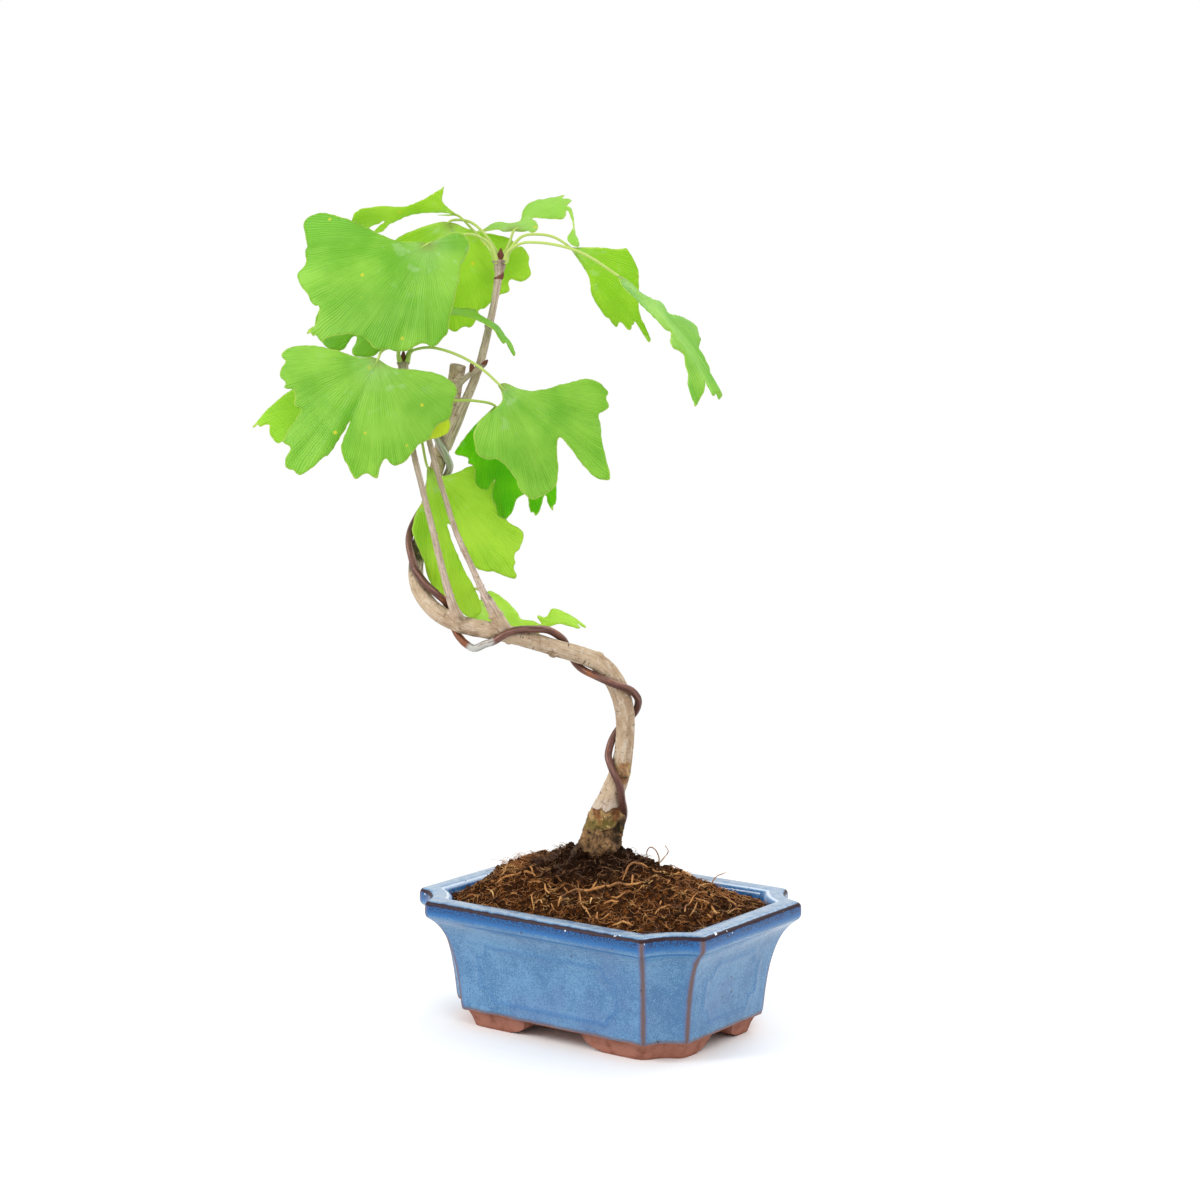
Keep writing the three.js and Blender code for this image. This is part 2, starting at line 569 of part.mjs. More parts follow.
// apex: where the petiole meets the blade. along: way the blade points. face: side that is seen.
// droop and fold: curvature along and across the blade, per mm. outline: the flat blade's edge in mm
// as [along, across] from the apex, anticlockwise.
const leaves = [
  {
    name: 'leaf_crown_front', material: leafGreen, spur: 'crown', bearing: 225,
    via: [[-50.5, 1.5, 336], [-58, -1.5, 340], [-66.5, -6.5, 339]], apex: [-74.8, -14, 335.2],
    along: [-0.72, -0.25, -0.62], face: [-0.12, -0.9, 0.35], droop: 0.006, fold: 0.01,
    outline: [[1.8, -3], [8.6, -11.2], [19.7, -50], [25.1, -54.1], [28.9, -52], [39.6, -35.4],
      [47.2, -32.8], [51.2, -19.3], [49.9, -14.7], [55.6, -9.9], [62.3, -9.9], [59.9, -6.8], [59.8, -2.4],
      [52.6, 1.8], [46.5, 9.9], [46.1, 17], [43.4, 20.3], [37.8, 26.3], [29.6, 29.9], [26.3, 33.8],
      [18.5, 33.3], [-3.5, 16.5], [-11.8, 12.6], [-14, 7.9], [-11.8, 3.5], [0, 0]],
  },
  {
    name: 'leaf_left_front', material: leafGreen, spur: 'left', bearing: 230,
    via: [[-88, -14.5, 291.5], [-91, -19, 292.5], [-94, -21, 291]], apex: [-95.3, -22, 288],
    along: [-0.25, -0.25, -0.93], face: [0, -0.95, 0.3], droop: 0.006, fold: 0.008,
    outline: [[-0.2, -2.6], [1.2, -8.3], [0.9, -32], [2.9, -37.9], [6.5, -41.3], [9.1, -38.6],
      [15.7, -39.1], [18.5, -35.4], [20.3, -35.9], [20.8, -31.3], [25.6, -30], [27.1, -26.4], [42, -30.8],
      [44.6, -26.5], [50.5, -28], [53.3, -25.3], [54.8, -20], [51.5, -15.9], [44, -10.2], [27.6, -4.7],
      [40.3, -5.5], [45.7, -1.6], [50.3, 3.3], [46.9, 7.2], [48, 12], [39.2, 13.5], [41, 17.8],
      [38.5, 21.5], [21.9, 29.8], [14.6, 35.2], [3.5, 34.9], [-0.1, 29.5], [-0.3, 20], [1.9, 7.8]],
  },
  {
    name: 'leaf_right_front', material: leafGreen, spur: 'left', bearing: -20,
    via: [[-82, -10, 291], [-74.5, -13, 292.5], [-64, -16, 290], [-53.5, -18, 284.5]],
    apex: [-45.5, -18, 277.4],
    along: [0.62, -0.2, -0.75], face: [0.1, -0.9, 0.35], droop: 0.008, fold: 0.008,
    outline: [[-0.1, -0.5], [6, -3.1], [7.7, -17.6], [10.4, -21.6], [16.6, -24.9], [20.7, -24],
      [27.2, -18.9], [41.5, -19.8], [47.1, -17.4], [47.7, -5.6], [32.7, 7], [55.6, 10], [60.3, 14.6],
      [35.5, 26.8], [33.9, 28.4], [33.2, 34.5], [29.9, 35.6], [28.6, 37.9], [24.1, 37.2], [18.6, 31.8],
      [10.9, 10.7], [1.1, 2.3]],
  },
  {
    name: 'leaf_right_back', material: leafDeep, spur: 'middle', bearing: 10,
    via: [[-74, -5, 269.5], [-66.5, -5, 270], [-56, -6, 270]], apex: [-47.8, -4, 267.8],
    along: [0.1, 0.03, -0.97], face: [0.15, -0.95, 0.2], droop: 0.006, fold: 0.006,
    outline: [[1.8, -2.3], [7.4, -9.7], [18.1, -18.9], [20.6, -14], [23.2, -13.8], [25.7, -11.1],
      [33.8, -10.5], [35.4, -6.3], [31.5, -3.2], [39.8, -5.2], [48.7, -2.1], [50, 0.8], [41.6, 5.7],
      [39.4, 8.9], [39.5, 10], [48.4, 11.4], [48.1, 12.7], [50.1, 13.3], [41, 18.1], [48.4, 21],
      [36.8, 23.3], [19.3, 21.1], [7.7, 14.3], [1.6, 6.3], [0, 0]],
  },
  {
    name: 'leaf_crown_back', material: leafBright, spur: 'crown', bearing: 118,
    via: [[-54.2, 6, 341.8], [-60.7, 10.5, 345.4]], apex: [-67.6, 13, 344.8],
    along: [0.12, 0.03, -0.98], face: [0.1, -0.98, 0.1], droop: 0.004, fold: 0.006,
    outline: [[-0.5, -3.8], [4.9, -24.1], [9.5, -26], [17.1, -26.2], [28, -24.6], [36, -19.2],
      [41.1, -13.3], [46.7, -2.4], [45, 1.3], [45.7, 3.4], [38.3, 8.6], [32.2, 22], [27.6, 23.4],
      [28.8, 27.7], [26.6, 32.4], [19.3, 32.6], [10.8, 25.9]],
  },
  {
    name: 'leaf_right_hang', material: leafBright, spur: 'crown', bearing: 18,
    via: [[-36.5, 4.5, 338.5], [-30, 5, 339.5], [-23, 5, 338.3]], apex: [-16.2, 5, 334],
    along: [0.64, 0.08, -0.76], face: [-0.2, -0.96, -0.2], droop: 0.004, fold: 0.006,
    outline: [[0, 0], [13.2, -1.8], [20.9, -6.3], [32.9, -8.4], [39.1, -7.9], [38.2, -5.4], [43.6, -4.6],
      [41.8, 0], [53.5, -2.2], [53.2, -0.8], [39.8, 4.6], [27.1, 15], [16.6, 18.1], [2, 2.8]],
  },
  {
    name: 'leaf_far_right', material: leafBright, spur: 'crown', bearing: -35,
    via: [[-37, -1, 335.5], [-31, -4, 336], [-20, -7, 334.5], [-10, -9, 331]], apex: [3.9, -10, 322.1],
    along: [0.84, 0, -0.54], face: [0.53, -0.22, 0.82], droop: 0.009, fold: 0.004,
    outline: [[0, 0], [2.9, -9.5], [6, -13.3], [10.6, -15.7], [16.5, -16.1], [28.6, -16], [31.1, -14.5],
      [34.1, -22.9], [41.1, -20], [46.9, -26.2], [51.1, -36.8], [55.8, -34.6], [56.7, -35.9], [57.9, -29],
      [55.4, -20.1], [58.1, -21.9], [63.2, -16.3], [67.5, -4.5], [67.8, 2.1], [66.7, 5.3], [60.6, 5.1],
      [57.7, 2.8], [57.4, 7.9], [55.3, 9.7], [51.9, 9.7], [49.1, 13], [44.7, 34.1], [41.7, 40.8],
      [37.4, 35.6], [26, 9.6], [23.9, 12.2], [21, 12.4], [16.3, 3.5], [11.2, 0.6], [3.1, 2.8]],
  },
  {
    name: 'leaf_low_front', material: leafBright, spur: 'middle', bearing: 120,
    via: [[-80.8, -0.3, 267.2], [-81, 1.5, 261], [-79, 2, 252]], apex: [-76.8, -1, 242.3],
    along: [0.25, 0, -0.97], face: [0.1, -0.99, 0.05], droop: 0.006, fold: 0.004,
    outline: [[9.7, -3.2], [21.6, -11.8], [28.5, -13.1], [51.4, -10.9], [69.6, 0], [71.6, 3.2],
      [69.7, 6.7], [64.7, 7.3], [34, 2.2], [26.1, 2.2], [48.1, 8.9], [58.5, 24.5], [48.9, 26.4],
      [39.1, 33], [30.5, 27], [12.1, 25.5], [6.2, 21.7], [4.7, 17.7], [5.6, 4.6], [0.1, 0.4]],
  },
  {
    name: 'leaf_crown_left', material: leafBright, spur: 'crown', bearing: 170,
    via: [[-51.5, 7, 335], [-57, 11, 341]], apex: [-64.4, 16, 347.8],
    along: [-0.8, -0.3, -0.1], face: [0.1, -0.5, -0.86], droop: 0.004, fold: 0.004,
    outline: [[3.1, -4.1], [9, -12.8], [10, -22.3], [10.9, -20.1], [25, -9.5], [35.3, -9.3], [43.2, -5.8],
      [45.5, 0.5], [44.9, 4.5], [40.8, 8.3], [37.5, 7.3], [31.4, 1], [34.4, 10.7], [31.1, 9.8],
      [28.6, 4.4], [20.3, -2.6], [9.7, -3.8], [0, 0]],
  },
  {
    name: 'leaf_crown_right', material: leafGreen, spur: 'crown', bearing: 68,
    via: [[-43.2, 7.5, 333], [-41.5, 8.5, 337]], apex: [-39.9, 9, 341.2],
    along: [0.8, 0.3, 0.2], face: [-0.1, -0.6, 0.8], droop: 0.004, fold: 0.004,
    outline: [[7.3, -4.5], [10.8, -0.6], [10.7, 5.7], [23.3, 1.5], [27.4, 6.7], [23.9, -7.2],
      [18.4, -13.9], [19.2, -18.3], [21.4, -19.6], [29.3, 4.8], [29.1, 10.1], [33.4, 15.4], [30.6, 18.6],
      [32.5, 20.9], [15.5, 19.1], [10, 13.9], [4.7, 5.7], [-0.2, 6.1], [-4.1, 8.9], [-13.8, 6.5],
      [-1.3, 0.2]],
  },
  {
    name: 'leaf_inner_small', material: leafGreen, spur: 'left', bearing: 50,
    via: [[-82, -7.5, 293], [-77, -8.5, 302]], apex: [-71.3, -8, 307.2],
    along: [0.85, -0.1, -0.3], face: [0.35, -0.6, 0.75], droop: 0.02, fold: 0.006,
    outline: [[0, 0], [2.6, 0.2], [16.4, 6.8], [24, 8.1], [31, 5.7], [31.8, 8.1], [38.4, 6.3],
      [35.8, 9.9], [25.9, 13.4], [14.9, 12.4], [13.5, 13.5], [1.6, 3.1]],
  },
  {
    name: 'leaf_inner_left', material: leafGreen, spur: 'left', bearing: 140,
    via: [[-87.5, -3, 293], [-88.5, -1, 304]], apex: [-89.4, -6, 308],
    along: [-0.55, -0.1, -0.83], face: [0, -0.97, 0.2], droop: 0.006, fold: 0.006,
    outline: [[-0.2, -5.2], [5.4, -21.9], [11, -26], [18.3, -27.4], [24.4, -24.4], [28.7, -17],
      [26.2, -9.8], [18.8, -8.7], [18.2, -7.3], [25, -5.5], [24.1, -1], [20.1, 3.5], [11.7, 8.1],
      [6.4, 9.2], [1, 4.7]],
  },
  {
    name: 'leaf_low_left', material: leafBright, spur: 'middle', bearing: 195,
    via: [[-84, -6, 270.5], [-90, -5, 272.5], [-97, -6, 273.7]], apex: [-103.5, -7, 273.8],
    along: [-0.9, -0.1, -0.4], face: [-0.1, -0.9, 0.4], droop: 0.006, fold: 0.006,
    outline: [[1.6, -3.8], [8.2, -10.3], [18.2, -14.7], [33.3, -14.4], [48.9, -9.3], [41.8, -6],
      [43, -2.1], [41.5, 3.5], [34.6, 8.1], [26.3, 10.2], [13.9, 8.9], [4.9, 4.1], [0, 0]],
  },
  {
    name: 'leaf_low_small', material: leafGreen, spur: 'middle', bearing: 280,
    via: [[-77.5, -9, 269.5]], apex: [-79.2, -12, 271.5],
    along: [0.3, -0.1, -0.95], face: [0, -0.95, 0.3], droop: 0.006, fold: 0.006,
    outline: [[1.1, -2.1], [1.9, -8], [5.3, -10.9], [10.6, -10.8], [15, -7.8], [14.3, -4.5], [17.5, -3.3],
      [17.7, 6.3], [12.4, 9.2], [0, 0]],
  },
  {
    name: 'leaf_low_back', material: leafBright, spur: 'low', bearing: 0,
    via: [[-53.8, 2, 188], [-57, 9, 188.8], [-61.5, 15.5, 186.5]], apex: [-61.5, 19.4, 181.4],
    along: [0.95, 0.1, -0.28], face: [-0.05, -0.7, 0.7], droop: 0.004, fold: 0.004,
    outline: [[-0.3, -3.4], [9.1, -10.9], [15.8, -12.7], [23.1, -12.1], [29.9, -8.3], [41.2, 3.4],
      [51.3, 5.2], [50.8, 8.3], [54.9, 7.6], [46.8, 11.6], [38.1, 11.5], [36, 6], [31.9, 3.7],
      [34.5, 0.9], [25.1, 0.3], [16.5, 7.7], [8.8, 9.9], [5.7, 3.7], [0.6, 1.9]],
  },
];

function bentCoordinate(distance, curvature) {
  return {
    out: Math.sin(curvature * distance) / curvature,
    drop: (1 - Math.cos(curvature * distance)) / curvature,
  };
}

// Middle surface of a blade as a function of the distances along and across it from the apex.
function bladeSurface(leaf) {
  const apex = new THREE.Vector3(...leaf.apex);
  const along = new THREE.Vector3(...leaf.along).normalize();
  const face = new THREE.Vector3(...leaf.face);
  face.addScaledVector(along, -face.dot(along)).normalize();
  const side = new THREE.Vector3().crossVectors(face, along);
  return (ahead, aside) => {
    const forward = bentCoordinate(ahead, leaf.droop);
    const across = bentCoordinate(aside, leaf.fold);
    const reach = Math.hypot(ahead, aside);
    const degrees = THREE.MathUtils.radToDeg(Math.atan2(aside, ahead));
    const ripple = 1.1 * (reach / 45) ** 2 * Math.sin(0.13 * degrees + leaf.bearing);
    return apex.clone()
      .addScaledVector(along, forward.out)
      .addScaledVector(side, across.out)
      .addScaledVector(face, ripple - forward.drop - across.drop);
  };
}

// Every edge of a flat mesh, with the corners opposite to it.
function listEdges(triangles) {
  const edges = new Map();
  triangles.forEach((corners, triangle) => {
    corners.forEach((start, k) => {
      const end = corners[(k + 1) % 3];
      const key = `${Math.min(start, end)},${Math.max(start, end)}`;
      if (!edges.has(key)) edges.set(key, []);
      edges.get(key).push({ start, end, opposite: corners[(k + 2) % 3], triangle });
    });
  });
  return edges;
}

function turnOf(a, b, c) {
  return (b.x - a.x) * (c.y - a.y) - (b.y - a.y) * (c.x - a.x);
}

function inCircle(a, b, c, d) {
  const [p, q, r] = [a, b, c].map((corner) => corner.clone().sub(d));
  return p.lengthSq() * q.cross(r) - q.lengthSq() * p.cross(r) + r.lengthSq() * p.cross(q) > 1e-7;
}

// Turns the shared edge of two triangles wherever that makes them less pointed.
function turnEdges(points, triangles) {
  for (let turned = true; turned;) {
    turned = false;
    for (const [one, other] of listEdges(triangles).values()) {
      if (turned || !other) continue;
      const [a, b, c, d] = [one.start, one.end, one.opposite, other.opposite];
      const [pa, pb, pc, pd] = [a, b, c, d].map((i) => points[i]);
      const convex = turnOf(pc, pd, pb) > 1e-3 && turnOf(pd, pc, pa) > 1e-3;
      if (!convex || !inCircle(pa, pb, pc, pd)) continue;
      triangles[one.triangle] = [c, d, b];
      triangles[other.triangle] = [d, c, a];
      turned = true;
    }
  }
}

// Fills an outline with triangles whose edges are no longer than the limit.
function fillOutline(outline, limit) {
  const points = outline.map(([ahead, aside]) => new THREE.Vector2(ahead, aside));
  const triangles = THREE.ShapeUtils.triangulateShape(points, []);
  for (;;) {
    turnEdges(points, triangles);
    const length = ([{ start, end }]) => points[start].distanceTo(points[end]);
    const longest = [...listEdges(triangles).values()]
      .reduce((best, edge) => (length(edge) > length(best) ? edge : best));
    if (length(longest) < limit) return { points, triangles };
    const { start, end } = longest[0];
    points.push(points[start].clone().lerp(points[end], 0.5));
    const halfway = points.length - 1;
    for (const half of longest) {
      triangles[half.triangle] = [half.start, halfway, half.opposite];
      triangles.push([halfway, half.end, half.opposite]);
    }
  }
}

function makeBlade(leaf) {
  const surface = bladeSurface(leaf);
  const meshSize = 11;
  const step = 0.5;
  const { points, triangles } = fillOutline(leaf.outline, meshSize);
  const positions = [];
  for (const side of [1, -1]) {
    for (const { x, y } of points) {
      const point = surface(x, y);
      const forward = surface(x + step, y).sub(point);
      const across = surface(x, y + step).sub(point);
      const normal = forward.cross(across).normalize();
      point.addScaledVector(normal, side * bladeThickness / 2);
      positions.push(point.x, point.y, point.z);
    }
  }
  const under = points.length;
  const indices = [];
  for (const [a, b, c] of triangles) indices.push(a, b, c, a + under, c + under, b + under);
  for (const [edge, shared] of listEdges(triangles).values()) {
    if (shared) continue;
    const { start, end } = edge;
    indices.push(start, start + under, end + under, start, end + under, end);
  }
  const geometry = new THREE.BufferGeometry();
  geometry.setAttribute('position', new THREE.Float32BufferAttribute(positions, 3));
  geometry.setIndex(indices);
  return geometry;
}

// The petiole starts just clear of its spur, follows its via points and runs out into the blade.
function makePetiole(leaf) {
  const surface = bladeSurface(leaf);
  const rib = 6;
  const start = [];
  if (leaf.spur === 'low') {
    start.push([-53.3, -2.9, 186.5]);
  } else {
    const spur = spurs[leaf.spur];
    const bearing = THREE.MathUtils.degToRad(leaf.bearing);
    const outward = new THREE.Vector3(Math.cos(bearing), Math.sin(bearing), 0);
    const seat = spur.top.clone().addScaledVector(outward, spur.ring);
    start.push([seat.x, seat.y, seat.z + clearance]);
    seat.addScaledVector(outward, 0.7);
    start.push([seat.x, seat.y, seat.z + 2.5]);
  }
  const heart = leaf.outline
    .reduce((sum, [ahead, aside]) => sum.add(new THREE.Vector2(ahead, aside)), new THREE.Vector2())
    .setLength(rib);
  const end = surface(heart.x, heart.y);
  const stations = [...start, ...leaf.via, leaf.apex, [end.x, end.y, end.z]]
    .map((place, i, all) => [...place, i === all.length - 1 ? 0.55 : petioleRadius]);
  return simpleStem(stations, 5, stations.length + 5);
}

function makeLeaf(leaf) {
  return fromSolid(toSolid(makeBlade(leaf)).add(toSolid(makePetiole(leaf))));
}

// ---------------------------------------------------------------- assembly

const planter = new THREE.Group();
planter.add(piece('pot', makePot(), glaze));
planter.add(piece('soil', makeSoil(), peat));
drainPlaces.forEach((x, i) => {
  const mesh = piece(i === 0 ? 'drain_mesh_left' : 'drain_mesh_right', makeDrainMesh(), meshPlastic);
  mesh.position.set(x, 0, bedHeight + clearance);
  planter.add(mesh);
});

const tree = new THREE.Group();
tree.rotation.z = treeTurn;
tree.add(piece('trunk', makeTrunk(), bark));
tree.add(piece('training_wire', makeWire(), wireMetal));
for (const leaf of leaves) tree.add(piece(leaf.name, makeLeaf(leaf), leaf.material));

// The origin is on the floor under the middle of the whole plant.
const bonsai = new THREE.Group();
bonsai.add(planter, tree);
const bounds = new THREE.Box3().setFromObject(bonsai, true);
const middle = bounds.getCenter(new THREE.Vector3());
bonsai.position.set(-middle.x, -middle.y, -bounds.min.z);

export default bonsai;
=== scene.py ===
import math

import bmesh
import bpy
import numpy as np
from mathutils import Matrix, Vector
from mathutils.bvhtree import BVHTree
from mathutils.geometry import delaunay_2d_cdt


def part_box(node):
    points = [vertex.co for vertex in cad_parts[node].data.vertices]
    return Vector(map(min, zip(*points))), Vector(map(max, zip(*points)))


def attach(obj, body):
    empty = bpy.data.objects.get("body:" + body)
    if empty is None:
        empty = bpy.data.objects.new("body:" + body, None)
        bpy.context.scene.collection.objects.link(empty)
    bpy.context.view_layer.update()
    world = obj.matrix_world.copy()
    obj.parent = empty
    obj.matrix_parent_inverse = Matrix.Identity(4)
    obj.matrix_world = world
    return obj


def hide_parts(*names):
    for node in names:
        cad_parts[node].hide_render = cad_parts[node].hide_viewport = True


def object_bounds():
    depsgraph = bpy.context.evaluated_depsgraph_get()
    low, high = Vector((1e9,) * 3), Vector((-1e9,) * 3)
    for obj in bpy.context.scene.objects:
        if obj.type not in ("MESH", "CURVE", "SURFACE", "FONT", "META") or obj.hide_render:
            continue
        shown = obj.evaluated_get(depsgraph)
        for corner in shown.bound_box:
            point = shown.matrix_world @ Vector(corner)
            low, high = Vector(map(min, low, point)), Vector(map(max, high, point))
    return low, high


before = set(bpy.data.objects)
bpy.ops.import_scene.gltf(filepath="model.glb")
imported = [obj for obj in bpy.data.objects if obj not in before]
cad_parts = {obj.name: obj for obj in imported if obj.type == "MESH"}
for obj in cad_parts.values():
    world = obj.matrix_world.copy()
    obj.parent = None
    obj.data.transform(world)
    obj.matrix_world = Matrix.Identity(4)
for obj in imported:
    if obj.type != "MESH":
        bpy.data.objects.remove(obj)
cadBox = [list(corner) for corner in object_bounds()]
mm = 0.001
potLow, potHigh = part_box("pot")
potMiddle = (potLow + potHigh) / 2
treeTurn = math.radians(36)  # the tree's broad side against the pot's long side
treeFront = np.array([math.sin(treeTurn), -math.cos(treeTurn), 0])
print("frame loaded, pot in the middle of", [round(v, 4) for v in potMiddle])


# Places. The pot's own millimetres have their origin on the floor under its middle; the tree's are turned.

def potToScene(points):
    return np.asarray(points, float) * mm + np.array([potMiddle.x, potMiddle.y, 0.0])


def treeToPot(points):
    points = np.asarray(points, float)
    c, s = math.cos(treeTurn), math.sin(treeTurn)
    x, y, z = points[..., 0], points[..., 1], points[..., 2]
    return np.stack([x * c - y * s, x * s + y * c, z], -1)


def treeToScene(points):
    return potToScene(treeToPot(points))


def newObject(name, data):
    obj = bpy.data.objects.new(name, data)
    bpy.context.scene.collection.objects.link(obj)
    return obj


# Camera

cameraView = {"azimuth": 36, "pitch": 7, "distance": 1107, "aimHeight": 185, "aimAcross": -3.6, "lens": 77.9}


def makeCamera(view):
    a, e = math.radians(view["azimuth"]), math.radians(view["pitch"])
    right = np.array([math.cos(a), math.sin(a), 0])
    back = np.array([math.sin(a) * math.cos(e), -math.cos(a) * math.cos(e), math.sin(e)])
    aim = right * view["aimAcross"] + np.array([0, 0, view["aimHeight"]])
    data = bpy.data.cameras.new("camera")
    data.lens, data.sensor_width = view["lens"], 36
    camera = newObject("camera", data)
    camera.location = potToScene(aim + back * view["distance"])
    camera.rotation_euler = (math.pi / 2 - e, 0, a)
    bpy.context.scene.camera = camera


makeCamera(cameraView)


# Nodes, for geometry and for materials

def feed(node, inputs):
    for key, value in inputs.items():
        if isinstance(value, Value):
            node.id_data.links.new(value.socket, node.inputs[key])
        else:
            node.inputs[key].default_value = value


def adderFor(tree):
    def add(kind, inputs=None, out=0, **settings):
        node = tree.nodes.new(kind)
        for key, value in settings.items():
            setattr(node, key, value)
        feed(node, inputs or {})
        return Value(add, node.outputs[out])
    return add


class Value:  # a node's output, reckoned with like a number
    def __init__(self, add, socket):
        self.add, self.socket = add, socket

    def calc(self, operation, *others):
        return self.add("ShaderNodeMath", dict(enumerate((self, *others))), operation=operation)

    def __add__(self, other):
        return self.calc("ADD", other)

    def __sub__(self, other):
        return self.calc("SUBTRACT", other)

    def __rsub__(self, other):
        return self.add("ShaderNodeMath", {0: other, 1: self}, operation="SUBTRACT")

    def __mul__(self, other):
        return self.calc("MULTIPLY", other)

    def __abs__(self):
        return self.calc("ABSOLUTE")

    def most(self, other):
        return self.calc("MAXIMUM", other)

    def ramp(self, low, high, toLow=0.0, toHigh=1.0, shape="LINEAR"):
        return self.add("ShaderNodeMapRange", {
            "Value": self, "From Min": low, "From Max": high, "To Min": toLow, "To Max": toHigh},
            interpolation_type=shape)

    def ease(self, *limits):
        return self.ramp(*limits, shape="SMOOTHSTEP")

    def noise(self, scale, detail=3, roughness=0.5, distortion=0, seed=None, out=0):
        values = {"Vector": self, "Scale": scale, "Detail": detail, "Roughness": roughness, "Distortion": distortion}
        if seed is None:
            return self.add("ShaderNodeTexNoise", values, out)
        return self.add("ShaderNodeTexNoise", {**values, "W": seed}, out, noise_dimensions="4D")

    def wander(self, scale, detail):  # noise as a way to go, none on average
        noise = self.noise(scale, detail, out="Color")
        return self.add("ShaderNodeVectorMath", {0: noise, 1: (0.5, 0.5, 0.5)}, operation="SUBTRACT")

    def cells(self, scale):  # distance to the nearest of scattered points
        return self.add("ShaderNodeTexVoronoi", {"Vector": self, "Scale": scale}, "Distance")

    def stretched(self, *factors):
        return self.add("ShaderNodeMapping", {"Vector": self, "Scale": factors})

    def height(self):
        return self.add("ShaderNodeSeparateXYZ", {0: self}, 2)

    def gapTo(self, point):
        return self.add("ShaderNodeVectorMath", {0: self, 1: tuple(point)}, "Value", operation="DISTANCE")

    def bump(self, strength, distance):
        return self.add("ShaderNodeBump", {"Height": self, "Strength": strength, "Distance": distance})


def coats(look, base, *layers):  # colours laid over each other, each with its share of the surface
    for share, coat in layers:
        add = next(v.add for v in (share, base, coat) if isinstance(v, Value))
        first, second = ((*look[c], 1.0) if isinstance(c, str) else c for c in (base, coat))
        base = add("ShaderNodeMix", {0: share, 6: first, 7: second}, 2, data_type="RGBA")
    return base


def startMaterial(name, *stored):  # with the values that are stored on the mesh
    material = bpy.data.materials.new(name)
    material.use_nodes = True
    add = adderFor(material.node_tree)
    place = add("ShaderNodeTexCoord", out="Object")
    values = [add("ShaderNodeAttribute", out="Fac", attribute_name=n) for n in stored]
    return material, material.node_tree.nodes["Principled BSDF"], place, *values


def mixShader(material, share, shader):  # another shader over a share of the surface
    nodes = material.node_tree.nodes
    plain = Value(share.add, nodes["Principled BSDF"].outputs[0])
    feed(nodes["Material Output"], {"Surface": share.add("ShaderNodeMixShader", {0: share, 1: plain, 2: shader})})


def startTree(name, sizes):
    tree = bpy.data.node_groups.new(name, "GeometryNodeTree")
    kinds = {"Geometry": "Geometry", **{k: "Int" if isinstance(v, int) else "Float" for k, v in sizes.items()},
             "Material": "Material"}
    for label, kind in kinds.items():
        socket = tree.interface.new_socket(label, in_out="INPUT", socket_type="NodeSocket" + kind)
        if label in sizes:
            socket.default_value = sizes[label]
    tree.interface.new_socket("Geometry", in_out="OUTPUT", socket_type="NodeSocketGeometry")
    add = adderFor(tree)
    return tree, add, {s.name: Value(add, s) for s in tree.nodes.new("NodeGroupInput").outputs}


def endTree(tree, given, geometry):
    real = geometry.add("GeometryNodeRealizeInstances", {"Geometry": geometry})
    done = geometry.add("GeometryNodeSetMaterial", {"Geometry": real, "Material": given["Material"]})
    feed(tree.nodes.new("NodeGroupOutput"), {0: done})
    return tree


def pushed(geometry, way, far):  # points moved along a way, each by its own distance
    offset = geometry.add("ShaderNodeVectorMath", {0: way, "Scale": far}, operation="SCALE")
    return geometry.add("GeometryNodeSetPosition", {"Geometry": geometry, "Offset": offset})


def smoothed(geometry):
    return geometry.add("GeometryNodeSetShadeSmooth", {"Geometry": geometry})


def runTree(obj, tree, values, name):  # the tree's result, as a plain mesh object
    modifier = obj.modifiers.new("shape", "NODES")
    modifier.node_group = tree
    for item in tree.interface.items_tree:
        if item.item_type == "SOCKET" and item.in_out == "INPUT" and item.name in values:
            modifier[item.identifier] = values[item.name]
    return plainMesh(obj, name)


# Meshes

def plainMesh(obj, name):
    bpy.context.view_layer.update()
    graph = bpy.context.evaluated_depsgraph_get()
    data = bpy.data.meshes.new_from_object(
        obj.evaluated_get(graph), preserve_all_data_layers=True, depsgraph=graph)
    obj.modifiers.clear()
    bpy.data.objects.remove(obj)
    data.name = name
    return newObject(name, data)


def meshObject(name, points, faces, smooth=True):
    data = bpy.data.meshes.new(name)
    data.from_pydata([tuple(p) for p in points], [], faces)
    data.polygons.foreach_set("use_smooth", [smooth] * len(data.polygons))
    data.update()
    return newObject(name, data)


def bandFaces(count, total, closed=False):  # between rings of count points each
    def at(k, i):
        return k % total * count + i % count
    return [(at(k, i), at(k, i + 1), at(k + 1, i + 1), at(k + 1, i))
            for k in range(total if closed else total - 1) for i in range(count)]


def tubeFaces(count, total):  # the same with both ends shut
    return bandFaces(count, total) + [tuple(range(count - 1, -1, -1)),
                                      tuple(range((total - 1) * count, total * count))]


def storeValues(obj, name, values):  # one for each point, or one for all
    attribute = obj.data.attributes.get(name) or obj.data.attributes.new(name, "FLOAT", "POINT")
    values = np.broadcast_to(values, len(obj.data.vertices))
    attribute.data.foreach_set("value", np.ascontiguousarray(values, np.float32))


def joinPieces(name, objects):
    with bpy.context.temp_override(active_object=objects[0], object=objects[0],
                                   selected_objects=objects, selected_editable_objects=objects):
        bpy.ops.object.join()
    objects[0].name = objects[0].data.name = name
    return objects[0]


def meshPoints(obj):
    points = np.zeros(len(obj.data.vertices) * 3)
    obj.data.vertices.foreach_get("co", points)
    return points.reshape(-1, 3)


def paint(obj, material):
    obj.data.materials.clear()
    obj.data.materials.append(material)


def finishPiece(obj, material, slot, *nodes):
    paint(obj, material)
    points = np.clip(meshPoints(obj), cadBox[0], cadBox[1])  # no tooth or crumb reaches past the solid model's box
    obj.data.vertices.foreach_set("co", points.ravel())
    obj.data.update()
    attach(obj, "root")
    if nodes:
        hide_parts(*nodes)
    print(" ", obj.name, len(obj.data.polygons), "faces")


# Lines and sweeps

